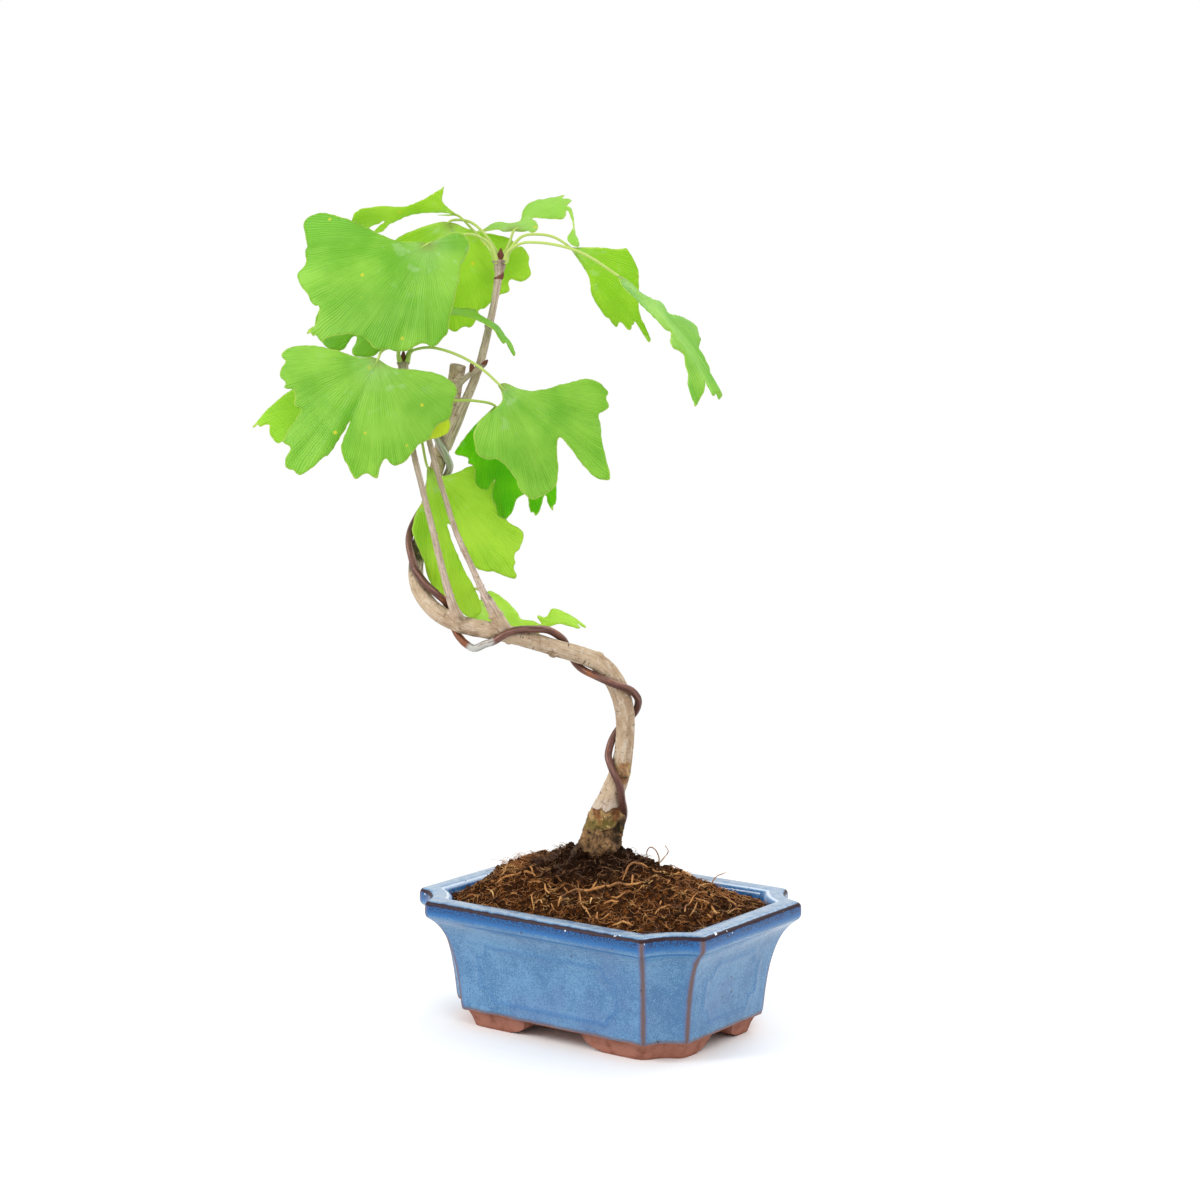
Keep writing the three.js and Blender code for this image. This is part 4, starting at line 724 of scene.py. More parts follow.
surfaceRoots = [  # thicker roots on the soil: [radius, [x, y, lift] ...] in tree millimetres
    [1.15, [-21.3, -30.7, 0], [-19.7, -24.2, 0], [-17.2, -21.6, 0], [-13.3, -21.8, 0], [-7.8, -21, 0],
     [-2.3, -21.9, 0], [1.9, -21, 0], [7.4, -19.5, 0], [11.7, -19, 0], [15.5, -18.7, 0]],
    [0.7, [-9.1, -21.5, 0], [-7, -20.8, 0.7], [-4.9, -19.5, 1.9]],
    [0.55, [-12.9, -26, 4.6], [-12.5, -26.6, 2.2], [-12, -27.4, 0.2], [-11.4, -33, 0], [-9.5, -38, 0]],
    [0.55, [-3.2, -26.2, 0], [-0.6, -25.3, 1], [1.5, -24.6, 2.6]],
    [1, [-49.5, 1.3, 0], [-45.6, 2.6, 0], [-42.2, 3.2, 0], [-38.3, 4.8, 0], [-35.3, 4.7, 0], [-33.5, 3.7, 0],
     [-31.6, -3.2, 0]],
    [0.6, [-34.2, 6.7, 1.3], [-33.1, 3.8, 1.5], [-32.6, 2.7, 0]],
    [0.8, [-34, -10, 0], [-28.9, -10.4, 0], [-25.8, -12, 0], [-21.9, -16.8, 0]],
    [0.7, [-27, -18.8, 2.6], [-26.5, -22, 1.2], [-25.2, -22.8, 0]],
    [0.8, [10.3, -15, 2.6], [10, -18.2, 0]],
    [0.8, [6, -14.7, 0], [7.3, -10.8, 1], [8.4, -9.8, 3.7], [10.5, -9.2, 5.3], [13.5, -8.8, 4.4], [16.7, -9.3, 2.8]],
    [1, [18.4, -0.6, 0], [21, -1.7, 0], [23.9, -4.9, 0], [27.1, 0.9, 0], [29.7, 2.8, 0], [32.5, 6.7, 0],
     [35.1, 5.8, 0], [37.2, 5.7, 0]],
    [0.6, [27.1, 0.9, 0], [30.4, -5.7, 0], [33.6, -10.3, 0], [35.8, -10.6, 0]],
    [1, [-1.9, -34.5, 0], [1, -34.2, 0], [3.9, -34.6, 0], [6.5, -34.4, 0], [9.4, -33.8, 0], [11.9, -37.3, 0],
     [14.3, -41, 0]],
    [0.7, [1, -31.9, 0], [3.5, -31.6, 0], [7, -25.3, 0]],
    [0.9, [1.4, -52.2, 0], [4.7, -51.6, 0], [7.5, -52.1, 0], [10, -52.7, 0], [12.8, -57.2, 0]],
    [0.5, [9.2, -32.3, 1.3], [10.7, -32.9, 0]],
    [0.6, [-7, -32, 1.8], [-7.4, -34.7, 1.1], [-8, -35.5, 0]],
    [0.5, [-11.1, -38.9, 3], [-9.4, -41.2, 2.2], [-9, -42, 1.4], [-7.3, -44.4, 0]],
    [0.5, [-30.7, -23.5, 4.3], [-32.4, -23.8, 3], [-32.1, -26.6, 2.3], [-31.4, -28.1, 0]],
    [0.6, [36.3, -32.3, 3.6], [34, -36.4, 3], [32.3, -39.1, 2], [32, -40.4, 1], [31.7, -43.5, 0]],
    [0.9, [36.6, -22.9, 0], [40.1, -14.5, 0], [42.7, -19.2, 0], [44.3, -21.7, 0]],
    [0.9, [36.6, -24.8, 0], [40.3, -27.5, 0], [42.6, -31.2, 0], [45, -35.1, 0], [46.4, -37.4, 0]],
    [0.55, [43.1, -10.3, 3], [40.4, -8.6, 1.4], [38.3, -13.1, 0]],
    [0.6, [36.9, -38.2, 3.3], [35.6, -41.2, 1.6], [33.8, -43.6, 0]],
    [0.6, [48.1, -21.7, 1.4], [51.1, -22.5, 0.7], [54, -23.6, 0]],
    [0.5, [40.6, -40.1, 0.8], [43.4, -43.1, 0]],
    [0.8, [56.1, -24.7, 0], [53.4, -27.7, 0], [50.1, -33.2, 0]],
    [0.6, [22, -33.6, 1.8], [21.5, -35.7, 0]],
    [0.6, [31.1, -24.1, 0], [33.3, -21.3, 1]],
    [0.8, [19.2, -46.5, 0], [22.3, -37.9, 0], [25.7, -35.5, 0]],
    [0.45, [16.8, -18.2, 0], [22.1, -8.6, 0]],
    [0.5, [24.9, -16.6, 0], [26.3, -14.1, 1.8]],
    [0.5, [-47.1, 8.6, 0], [-45.1, 12.2, 2.7], [-43.7, 11.4, 5.3]],
    [0.55, [-20, -3.2, 0], [-18.7, -2, 1.3]],
    [0.4, [-39, 11.7, 0], [-37.3, 14, 2.2]],
    [0.6, [-43.8, -13.4, 0], [-41, -12.5, 0], [-37.8, -12.8, 0]],
    [0.5, [-31.5, -25.2, 0], [-29, -24.6, 0], [-27.2, -30.5, 0]],
    [0.5, [-24.2, -29.6, 2], [-22.9, -31.3, 0]],
    [0.45, [-4.8, -44.7, 0], [-4.8, -42.2, 2.6]],
    [0.5, [-3.6, -43.9, 0], [-1.1, -43.8, 0], [1, -42.4, 0]],
    [0.5, [-18.9, -20.6, 2.3], [-16.7, -21.9, 0]],
    [0.45, [-52.6, -6.3, 3.9], [-50, -7.6, 1.4], [-49, -9.9, 0]],
    [0.4, [-29.7, 6.4, 0], [-27.4, 2.7, 0], [-24.3, -1, 0]],
]
standingRoots = [  # curly ends that stand clear of the soil
    [[18.5, 21, 60, 0.42], [21, 20, 64, 0.38], [22.4, 20, 67.5, 0.32], [20.8, 19.5, 72, 0.26], [18.4, 19, 73.4, 0.22],
     [16.9, 19, 71.2, 0.2], [17.3, 19, 68.5, 0.14]],
    [[19, 18, 61, 0.36], [21.5, 19, 65, 0.3], [24.5, 19.5, 68.6, 0.25], [26.4, 20, 71.2, 0.2], [25, 20, 74, 0.14]],
    [[-24, 30, 61, 0.3], [-27, 30, 66, 0.24], [-32, 29, 68.5, 0.14]],
    [[44, 8, 58, 0.3], [47, 7, 63, 0.24], [51, 6, 65, 0.14]],
]


def makeTufts():  # hairs that rise curling from the soil
    rng, radius, strands = np.random.default_rng(soilForm["seed"]), soilForm["tuftRadius"], []
    for x, y, spread, count, length in soilForm["tufts"]:
        for _ in range(count):
            start = treeToPot([*(rng.normal(0, spread / 2, 2) + [x, y]), 0])
            if any(np.abs(start[:2]) > soilForm["tuftBounds"]):
                continue
            start[2] = soilHeight(start[0], start[1]) + 0.4
            heading, bend, rise = rng.uniform(0, 6.3), rng.normal(0, 1.2), rng.uniform(0.2, 1.3)
            reach, rows = length * rng.uniform(0.6, 1.7), [[*start, radius]]
            for share in (0.33, 0.66, 1.0):
                turn = heading + bend * share
                way = [share * math.cos(turn), share * math.sin(turn), 0.45 * rise * math.sin(share * 2.4)]
                rows.append([*(start + reach * np.array(way)), radius * (1 - share / 2)])
            line = smoothLine(rows, 4)
            strands.append(np.column_stack([potToScene(line[:, :3]), line[:, 3] * mm]))
    return strands


def layRoots(sheet):  # thick roots from clod to clod
    cover = BVHTree.FromPolygons([tuple(v.co) for v in sheet.data.vertices],
                                 [tuple(f.vertices) for f in sheet.data.polygons])

    def clodHeight(x, y):
        found = cover.ray_cast(Vector(potToScene([x, y, 200.0])), Vector((0, 0, -1)))[0]
        return soilHeight(x, y) if found is None else found.z / mm

    strands = []
    for radius, *route in surfaceRoots:
        line = smoothLine([[*row, radius] for row in route], 8)
        onPot = treeToPot(line[:, :3])
        taper = np.sin(np.linspace(0.25, 2.9, len(line))) * 0.6 + 0.4
        bare = np.pad([clodHeight(x, y) for x, y, _ in onPot], 3, mode="edge")
        bridged = np.convolve([bare[k:k + 3].max() for k in range(len(bare) - 2)], np.full(5, 0.2), mode="valid")
        onPot[:, 2] = bridged + line[:, 2] + radius * 0.35
        strands.append(np.column_stack([potToScene(onPot), radius * taper * 0.62 * mm]))
    return strands + [strandToScene(smoothLine(rows, 8)) for rows in standingRoots]


def makeSoil():
    form, look, peat = soilForm, soilLook, makePeat(soilLook)
    rootSkin, hairSkin = makeRootSkin("rootSkin", "root", look), makeRootSkin("rootHair", "hair", look)
    shape = {"Clods": form["clods"] * 2 * mm, "Crumbs": form["crumbs"] * 2 * mm, "Seed": form["seed"],
             "Material": peat}
    reliefTree, top = makeSoilTree(), makeSoilTop()
    whole = [levelRing(height, inset, *form["outline"]) for height, inset in form["below"]] + top
    sheet, mound = (
        runTree(meshObject(name, potToScene(np.vstack(rings)), facesOf(len(top[0]), len(rings))),
                reliefTree, shape, name)
        for name, rings, facesOf in (("sheet", top, bandFaces), ("soilMound", whole, tubeFaces)))
    finishPiece(mound, peat, "peat", "soil")
    for forms, tree, skin in ((crumbForm, makeCrumbTree(), peat), (hairForm, makeFibreTree(), hairSkin)):
        for name, values in forms.items():
            piece = runTree(newObject("copy", sheet.data.copy()), tree, {**values, "Material": skin}, name)
            finishPiece(piece, skin, "peat")
    finishPiece(sweep("rootTufts", makeTufts(), hairSkin, sides=4, spacing=0.6), hairSkin, "peat")
    roots = sweep("surfaceRoots", layRoots(sheet), rootSkin, sides=8, spacing=0.7, relief=0.35, grain=700, seed=4)
    finishPiece(roots, rootSkin, "peat")
    bpy.data.objects.remove(sheet)


makeSoil()
print("soil and roots made")


# Trunk and twigs, in tree millimetres: [x, y, z, radius] from the soil upwards

trunkForm = {
    "voxel": 0.415, "barkRelief": 0.22, "footRelief": 1.5, "grain": 420, "budMargin": 0.45, "budFoot": 0.6,
    "slimFrom": 0.178, "slimOver": 0.008,  # height in metres where young bark starts, and of the change to it
    "trunk": [
        [-5, 15, 58, 8.2], [-5, 14, 66, 9.4], [-5, 13, 73, 8.1], [-4.2, 12, 79, 7.6], [-2.6, 11, 88, 6.5],
        [1, 10, 97.5, 5.2], [4.5, 9, 107, 4.7], [6.5, 8, 117, 4.1], [7.3, 7, 127, 4], [7, 6, 136, 4.2],
        [4.5, 5, 145.5, 4.3], [-0.2, 4, 153.5, 4.2], [-6, 3, 158.5, 3.9], [-23, 0, 164.5, 3.6],
        [-43, -4, 171, 3.8], [-62, -5, 175, 3.8], [-71, -4, 179, 3.7], [-77.5, -1, 184.5, 3.5],
        [-81.5, 3, 191, 3.3], [-82.5, 8, 198.5, 3.2], [-79, 15, 218, 3], [-74, 16, 239, 3.1],
        [-71, 15, 250, 3.4], [-68, 13, 261, 3.5], [-66, 11, 272.5, 3.2], [-64, 9, 284.5, 3.5]],
    "crownTwig": [
        [-70, 14, 249, 2.7], [-64.5, 11, 261, 2.45], [-61, 10, 269, 2.0], [-57.7, 9, 276.5, 1.9],
        [-54.3, 8, 286, 1.8], [-50.9, 7, 299.5, 1.6], [-48.1, 6, 312, 1.5], [-46.3, 5, 322.5, 1.75],
        [-45.8, 4, 326, 2.3], [-45.9, 4, 328.8, 3.1]],
    "leftTwig": [
        [-62.5, -4, 174, 3.2], [-66, -7, 183.5, 2.0], [-69.3, -9.5, 196, 1.55], [-73.4, -11, 213.5, 1.4],
        [-77.6, -11, 231, 1.3], [-81.5, -10, 247, 1.3], [-84.4, -9, 262, 1.3], [-85.6, -8, 277, 1.4],
        [-86, -8, 284, 2.1], [-86, -8, 286.5, 2.7]],
    "middleTwig": [
        [-43.5, -4, 171.5, 3.4], [-48.9, -7, 181.5, 2.5], [-51.2, -8, 186, 2.2], [-52.8, -8.5, 189, 1.55],
        [-58.1, -9, 201, 1.3], [-63.9, -9, 214, 1.25], [-68.4, -8, 228, 1.15], [-71.9, -7, 239.5, 1.2],
        [-74.7, -6, 250, 1.25], [-76.6, -5, 258.5, 1.35], [-77.5, -5, 263.5, 2.0], [-77.5, -5, 266, 2.7]],
    "sideShoot": [[-64, 8.5, 276, 1.4], [-59, 3.5, 280.5, 1.2], [-53, 0, 284.5, 1.1], [-51.5, -0.5, 285.5, 0.7]],
    "lowSpur": [[-51, -8, 187, 1.4], [-52, -5.5, 186.5, 1.4], [-53, -3.5, 186.5, 1.7]],
    "barkFlap": [[-12.4, 7, 79.5, 0.6], [-13.8, 5, 76, 1.3], [-15.4, 4, 72, 1.4], [-16.8, 3.5, 67, 1.1]],
    "rootFlare": [[-8.5, 9, 85, 1.8], [-10.3, 7, 80, 2.0], [-11.4, 6, 75, 2.0], [-11.6, 5, 69, 1.8]],
    "branchScar": [[3.5, 8.5, 109, 3.4], [6, 6.5, 109.5, 3.6], [8.6, 5, 110, 2.6]],
    "barkLip": [[-7.5, 8, 90, 0.7], [-5.4, 5.4, 87, 1.1], [-1.4, 4.4, 85, 1.2], [2.4, 6.0, 86, 1.1], [4, 8, 89, 0.8]],
    "footSide": [[2.2, 11, 93, 2.4], [3.3, 10.5, 86, 2.6], [2.8, 10.8, 79, 3.0], [1.5, 11.5, 72, 3.6]],
    "rightFlap": [[4.8, 8, 95, 1.0], [5.9, 7.6, 90, 1.35], [5.9, 7.2, 85, 1.3], [5.0, 7, 81, 1.0], [4.4, 7, 78.5, 0.4]],
}
rings = [  # scaly rings and old leaf scars: [twig, height, ring radius, thickness, tilt towards -x]
    ["middleTwig", 184.2, 2.05, 0.55, 0.3], ["middleTwig", 187.8, 1.75, 0.45, 0.3],
    ["middleTwig", 179.3, 2.6, 0.6, 0.4],
    ["leftTwig", 176.2, 2.6, 0.6, 0.3], ["leftTwig", 187.8, 1.75, 0.4, 0.2], ["middleTwig", 192, 1.4, 0.4, 0.35],
    ["crownTwig", 328.2, 3.0, 0.45, 0], ["crownTwig", 325.4, 2.3, 0.4, 0.1], ["leftTwig", 286, 2.6, 0.4, 0],
    ["leftTwig", 283.6, 2.0, 0.35, 0], ["middleTwig", 265.4, 2.6, 0.4, 0], ["leftTwig", 206, 1.4, 0.3, 0.2],
    ["crownTwig", 284, 1.75, 0.3, 0.3], ["crownTwig", 302, 1.55, 0.35, 0.2], ["middleTwig", 207.5, 1.25, 0.3, 0.5],
]
dirtSpots = [  # [x, y, z, reach]: dark scars and damp joints, in tree millimetres
    [-45.5, 4, 329, 3.6], [-86, -8, 287, 3.0], [-77.5, -5, 266.3, 3.0], [-50.9, -8.1, 188, 1.8], [-64, 9, 285.5, 3.6],
    [-62, -5, 177, 3.2], [-23.5, -1.5, 161, 2.2], [-51.5, -0.5, 285.5, 2.2], [7.4, 4.6, 107.4, 1.1],
    [5.4, 5.0, 110.6, 0.9], [-57, -6, 170.5, 2.4],
    [-61.5, -6, 171, 2.4], [-47, -5, 178, 2.2], [-71, 15, 250, 2.0], [3.6, 8.2, 84, 2.0], [3.4, 8.2, 79, 2.2],
    [6.6, 6.6, 87, 2.4], [-15.6, 4, 71, 3.6], [-13.6, 5, 76.5, 2.4], [-16.8, 3.5, 66, 3.0],
]
knots = [[-23.5, -1.5, 162, 2.1], [-57.4, -5, 171, 1.2], [-55.6, -6, 171.6, 0.9], [-42.4, -4.6, 167.6, 1.5],
         [-0.3, 7.6, 76, 4.4], [-4.8, 2.8, 160, 3.2], [-32, -2, 166, 2.2],
         [6, 7, 131, 2.6], [-82, 6, 196, 2.0], [-47, -4, 172.5, 2.3], [-67, 12.2, 257, 2.6], [-73, -11.2, 214, 1.3],
         [-62.8, -9.3, 212, 1.2], [-51.5, 6.6, 301, 1.2], [-75.5, 15.8, 232, 1.9]]
buds = [
    [[-45.5, 4, 328, 1.5], [-45.5, 4, 330.5, 1.6], [-45.3, 4, 334, 0.3]],
    [[-48, 5.3, 320, 1.2], [-45.3, 4.2, 321.5, 1.2], [-44.2, 3.7, 323.2, 0.3]],
    [[-86, -8, 286, 1.3], [-86, -8, 288.5, 1.3], [-85.8, -8, 291.5, 0.3]],
    [[-77.5, -5, 265, 1.2], [-77.6, -5, 268, 1.2], [-77.6, -5, 270.6, 0.3]],
    [[-58, 3, 281, 0.9], [-57.8, 2, 284, 1.1], [-57.6, 1.5, 286.6, 0.3]],
    [[-53, -0.2, 284.6, 1.0], [-51.8, -0.4, 286, 1.0], [-50.8, -0.6, 287.2, 0.3]],
]

barkLook = {
    "pale": (0.51, 0.385, 0.26), "tan": (0.36, 0.24, 0.145), "brown": (0.215, 0.132, 0.078),
    "dark": (0.075, 0.045, 0.027), "chalk": (0.62, 0.52, 0.41), "ash": (0.60, 0.52, 0.45),
    "twig": (0.60, 0.48, 0.385), "twigShade": (0.31, 0.215, 0.155), "green": (0.035, 0.043, 0.014),
    "moss": (0.15, 0.125, 0.018), "gold": (0.41, 0.26, 0.105), "amber": (0.25, 0.10, 0.032),
    "speck": (0.74, 0.60, 0.22), "earth": (0.032, 0.017, 0.0085), "flaky": (0.27, 0.148, 0.062),
    "bud": (0.15, 0.042, 0.022), "collar": 0.0930, "collarWander": 0.013,
    "scar": (6.6, 4.6, 109.0),  # middle of the golden branch scar
}


def makeBark(look):
    material, surface, place, along, around, budShare, dirt, slim, wireGap = startMaterial(
        "bark", "along", "around", "budShare", "dirt", "slim", "wireGap")
    height, patches, grain = place.height(), place.noise(90, 4, 0.6), place.noise(1100, 4, 0.65)
    turn = around * (2 * math.pi)
    rolled = place.add("ShaderNodeCombineXYZ", {0: turn.calc("COSINE") * 0.003, 1: turn.calc("SINE") * 0.003, 2: along})
    fibres = rolled.stretched(1.8, 1.8, 0.16).noise(900, 4, 0.65)
    flakes = rolled.stretched(1.2, 1.2, 0.45).noise(420, 4, 0.7, 0.6)
    lenticel = rolled.stretched(0.5, 0.5, 1.7).cells(300).ease(0.22, 0.12) * patches.ease(0.35, 0.6, 0.2, 1.0)
    young = coats(
        look, "twig", (fibres.ease(0.44, 0.64), "twigShade"), (patches.ease(0.5, 0.68, 0, 0.6), "tan"),
        (lenticel * 0.5, "brown"))
    shaded = height.ease(0.1935, 0.200) * height.ease(0.224, 0.214) * (1.0 - slim)

    # below a torn edge the foot is golden, then olive, then brown and flaky down to the earth
    torn = height + (patches - 0.5) * look["collarWander"]
    top, rough = look["collar"], place.noise(400, 5, 0.7)
    foot = torn.ease(top + 0.0003, top - 0.0003)
    warm = coats(
        look, "gold", (place.noise(210, 3, 0.6).ease(0.42, 0.6), "amber"), (rough.ease(0.52, 0.38, 0, 0.6), "earth"))
    band = abs(torn - (top - 0.0068)).ease(0.0028, 0.0012)
    specks = place.noise(560, 2).ease(0.66, 0.70, 0, 0.9)
    old = coats(
        look, "earth", (rough.ease(0.36, 0.57), "flaky"), (place.noise(520, 3, 0.7).ease(0.54, 0.66, 0, 0.5), "gold"),
        (torn.ease(top - 0.0075, top - 0.0045), warm), (band * rough.ease(0.3, 0.55, 0.95, 0.5), "moss"),
        (specks * torn.ease(top - 0.014, top - 0.004, 0.1, 1.0), "speck"), (torn.ease(0.0765, 0.070), "earth"))
    scarGap = place.gapTo(treeToScene(look["scar"])) + (flakes - 0.5) * 0.006
    base = coats(
        look, "tan", (patches.ease(0.30, 0.62), "pale"), (flakes.ease(0.50, 0.62, 0, 0.6), "chalk"),
        (fibres.ease(0.52, 0.7, 0, 0.6), "brown"), (grain.ease(0.56, 0.72, 0, 0.5), "brown"),
        (place.noise(600, 2).ease(0.68, 0.72, 0, 0.75), "dark"), (lenticel * 0.75, "dark"), (slim, young),
        (shaded * flakes.ease(0.62, 0.42, 0.25, 0.95), "green"),
        (wireGap.ease(1.6, 0.2) * grain.ease(0.35, 0.6, 0.7, 0.25), "dark"),
        (torn.ease(top + 0.006, top + 0.001, 0, 0.75) * fibres.ease(0.3, 0.6, 1.0, 0.5), "ash"),
        (scarGap.ease(0.0054, 0.0046, 0, 0.85), warm), (foot, old),
        (abs(torn - (top - 0.0004)).ease(0.0007, 0.0002, 0, 0.45), "dark"),
        (dirt * flakes.ease(0.3, 0.6, 0.95, 0.35), "dark"), (foot * dirt * 0.8, "earth"), (budShare * 0.95, "bud"))
    bumps = fibres * -0.7 + grain * 0.5 + flakes * 0.6 - lenticel * 0.35 + rough * foot * 2.4
    feed(surface, {"Base Color": base, "Roughness": 0.82, "Specular IOR Level": 0.3, "Normal": bumps.bump(0.9, 0.0007)})
    return material


def makeBarkTree():  # skin pushed out by noise, deep and flaky below the collar and fine above
    tree, add, given = startTree("barkRelief", {
        "Relief": 0.0002, "Foot Relief": 0.001, "Grain": 400.0, "Collar": 0.093, "Collar Wander": 0.01, "Seed": 1})
    place, collar, seed = add("GeometryNodeInputPosition"), given["Collar"], given["Seed"]
    torn = place.height() + (place.noise(90.0, 4.0, 0.6) - 0.5) * given["Collar Wander"]
    coarse = (place.noise(210.0, 5.0, 0.65, seed=seed) - 0.52) * torn.ramp(collar, collar - 0.0008)
    high = (place.noise(given["Grain"], 4.0, seed=seed) - 0.5) * given["Relief"] + coarse * given["Foot Relief"]
    return endTree(tree, given, smoothed(pushed(given["Geometry"], add("GeometryNodeInputNormal"), high)))


def lumpAt(x, y, z, radius):
    shape = bmesh.new()
    bmesh.ops.create_icosphere(shape, subdivisions=3, radius=radius * mm)
    for vertex in shape.verts:
        vertex.co.z *= 0.8
        vertex.co += Vector(treeToScene([x, y, z]))
    data = bpy.data.meshes.new("lump")
    shape.to_mesh(data)
    shape.free()
    return newObject("lump", data)


def ringAt(twig, height, radius, thickness, tilt):
    line = smoothLine(trunkForm[twig], 8)
    x, y, z = pointsAt(height, line[:, 2], line[:, :3])
    turns = np.linspace(0, 2 * math.pi, 21)
    wobble = 1 + 0.06 * np.sin(3 * turns + x) + 0.05 * np.sin(5 * turns + z)
    across, deep = radius * wobble * np.cos(turns), radius * wobble * np.sin(turns)
    return np.column_stack([x + across, y + deep, z + across * tilt, thickness * (1 + 0.3 * np.sin(4 * turns + y))])


wireForm = {
    "radius": 1.62, "clearance": 0.2,
    "stump": [[-5, 15, 44, 5.5], [-5, 15, 56, 9], [-4, 14, 66, 10.4], [-4, 13, 73, 9.2], [-3.5, 12, 79, 7.8],
              [-2, 11, 88, 6.4]],  # stands in for the trunk's first rows
}
wireRoute = [  # distance along the trunk from its stump, turn about it in degrees, lift off the bark
    [8, -60, 1.5], [20, -50, 0.2], [30, -35, -1.1], [38, -18, -0.9], [46.5, 0, 0.2], [56.5, 48, 0.1],
    [62.5, 79, 0], [70, 140, 0], [74, 174, 0.5], [79, 202, 0.3], [83, 228, 0], [88, 275, 0],
    [93, 322, 0.3], [97.5, 355, 0.6], [101.5, 385, 0.1], [105, 420, 0.2], [109, 455, 0.3],
    [114.5, 486, 0.4], [120, 515, 0.2], [126, 560, 0], [132, 625, 0], [138, 690, 0], [145.5, 726, 1],
    [151, 748, 0.6], [157, 770, 0.1], [162, 803, 0.2], [165.5, 842, 0.1], [169.5, 885, 0.5],
    [173.5, 893, 3], [177, 902, 2], [180, 920, 0.5], [184.5, 970, 0], [190.5, 1030, 0.1],
    [195, 1080, 0.4], [201, 1108, 0.6], [207.5, 1133, 0.1], [213, 1166, 0], [219, 1190, 0],
    [225, 1222, 0.1], [236, 1285, 0], [248, 1352, 0], [259.5, 1418, 0.3], [262.5, 1440, 0.3],
    [266, 1478, 0.1], [270, 1518, 0], [275, 1566, 0.1], [279, 1600, 0.3],
]


def wirePath():  # the wire's middle line, in tree millimetres
    line = smoothLine(wireForm["stump"] + trunkForm["trunk"][5:], 40)
    steps, path = lengthsOf(line[:, :3]), []
    for along, turn, lift, _ in smoothLine([[*row, 0] for row in wireRoute], 8):
        centre, ahead = (pointsAt(a, steps, line[:, :3]) for a in (along, along + 0.4))
        tangent = (ahead - centre) / max(np.linalg.norm(ahead - centre), 1e-9)
        face = np.array([0.0, -1, 0])
        face -= tangent * (face @ tangent)
        face /= np.linalg.norm(face)
        reach = np.interp(along, steps, line[:, 3]) + wireForm["radius"] + wireForm["clearance"] + lift
        angle = math.radians(turn)
        away = np.cross(tangent, face) * math.cos(angle) + face * math.sin(angle)
        path.append([*(centre + away * reach), wireForm["radius"]])
    return np.array(path)


def turnsAbout(outward, first, second):  # angle round a line from its second direction to its first
    return np.arctan2(np.sum(outward * first, axis=1), np.sum(outward * second, axis=1))


trunkParts = ("trunk", "crownTwig", "leftTwig", "middleTwig", "sideShoot", "lowSpur", "barkFlap", "branchScar",
              "barkLip", "rightFlap", "rootFlare", "footSide")


def growTrunk(lines, budLines, bark):  # the parts merged in one skin
    wood = sweep("wood", lines + budLines, bark, sides=24, spacing=0.8)
    scales = sweep("scales", [strandToScene(ringAt(*ring)) for ring in rings], bark, sides=8, spacing=0.5)
    whole = joinPieces("wood", [wood, scales] + [lumpAt(*knot) for knot in knots])
    remesh = whole.modifiers.new("grow", "REMESH")
    remesh.mode, remesh.voxel_size, remesh.use_smooth_shade = "VOXEL", trunkForm["voxel"] * mm, True
    settle = whole.modifiers.new("settle", "SMOOTH")
    settle.factor, settle.iterations = 0.5, 2
    return runTree(plainMesh(whole, "wood"), makeBarkTree(), {
        "Relief": trunkForm["barkRelief"] * 2 * mm, "Foot Relief": trunkForm["footRelief"] * 2 * mm,
        "Grain": float(trunkForm["grain"]), "Collar": barkLook["collar"], "Collar Wander": barkLook["collarWander"],
        "Seed": 5, "Material": bark}, "barkAndTwigs")


def makeTrunk():
    form, bark = trunkForm, makeBark(barkLook)
    lines = [strandToScene(smoothLine(form[n], 8)) for n in trunkParts]
    budLines = [strandToScene(smoothLine(rows, 4)) for rows in buds]
    whole = growTrunk(lines, budLines, bark)
    points, stems = meshPoints(whole), lines[:6]  # the trunk and its twigs
    height = points[:, 2]
    rows = np.vstack(stems)[:, :3]
    tangents = np.vstack([np.gradient(line[:, :3], axis=0) for line in stems])
    tangents /= np.linalg.norm(tangents, axis=1)[:, None]
    nearest, _ = nearestOn(points, rows)
    outward, axis = points - rows[nearest], tangents[nearest]
    along = np.concatenate([lengthsOf(line[:, :3]) for line in stems])[nearest] + np.sum(outward * axis, axis=1)
    face = treeFront - axis * (axis @ treeFront)[:, None]
    budShare, dirt = np.zeros(len(points)), np.zeros(len(points))
    for line in budLines:
        index, gap = nearestOn(points, line)
        budShare[(gap < line[index, 3] + form["budMargin"] * mm) & (height > line[0, 2] + form["budFoot"] * mm)] = 1
    for x, y, z, reach in dirtSpots:
        gap = np.linalg.norm(points - treeToScene([x, y, z]), axis=1)
        dirt = np.maximum(dirt, np.clip(1.6 - gap / (reach * mm), 0, 1))
    slim = (nearest >= len(lines[0])) * np.clip((height - form["slimFrom"]) / form["slimOver"], 0, 1)
    wireGap = nearestOn(points, strandToScene(wirePath()))[1] / mm - wireForm["radius"]
    for name, values in dict(along=along, around=turnsAbout(outward, np.cross(axis, face), face) / (2 * math.pi),
                             budShare=budShare, dirt=dirt, slim=slim, wireGap=wireGap).items():
        storeValues(whole, name, values)
    finishPiece(whole, bark, "bark", "trunk")


makeTrunk()
print("trunk made")


# Training wire

wireLook = {
    "rust": (0.085, 0.032, 0.024), "brown": (0.20, 0.095, 0.07), "orange": (0.26, 0.085, 0.026),
    "scraped": (0.46, 0.455, 0.42), "dull": (0.42, 0.44, 0.36), "mud": (0.045, 0.022, 0.012),
}


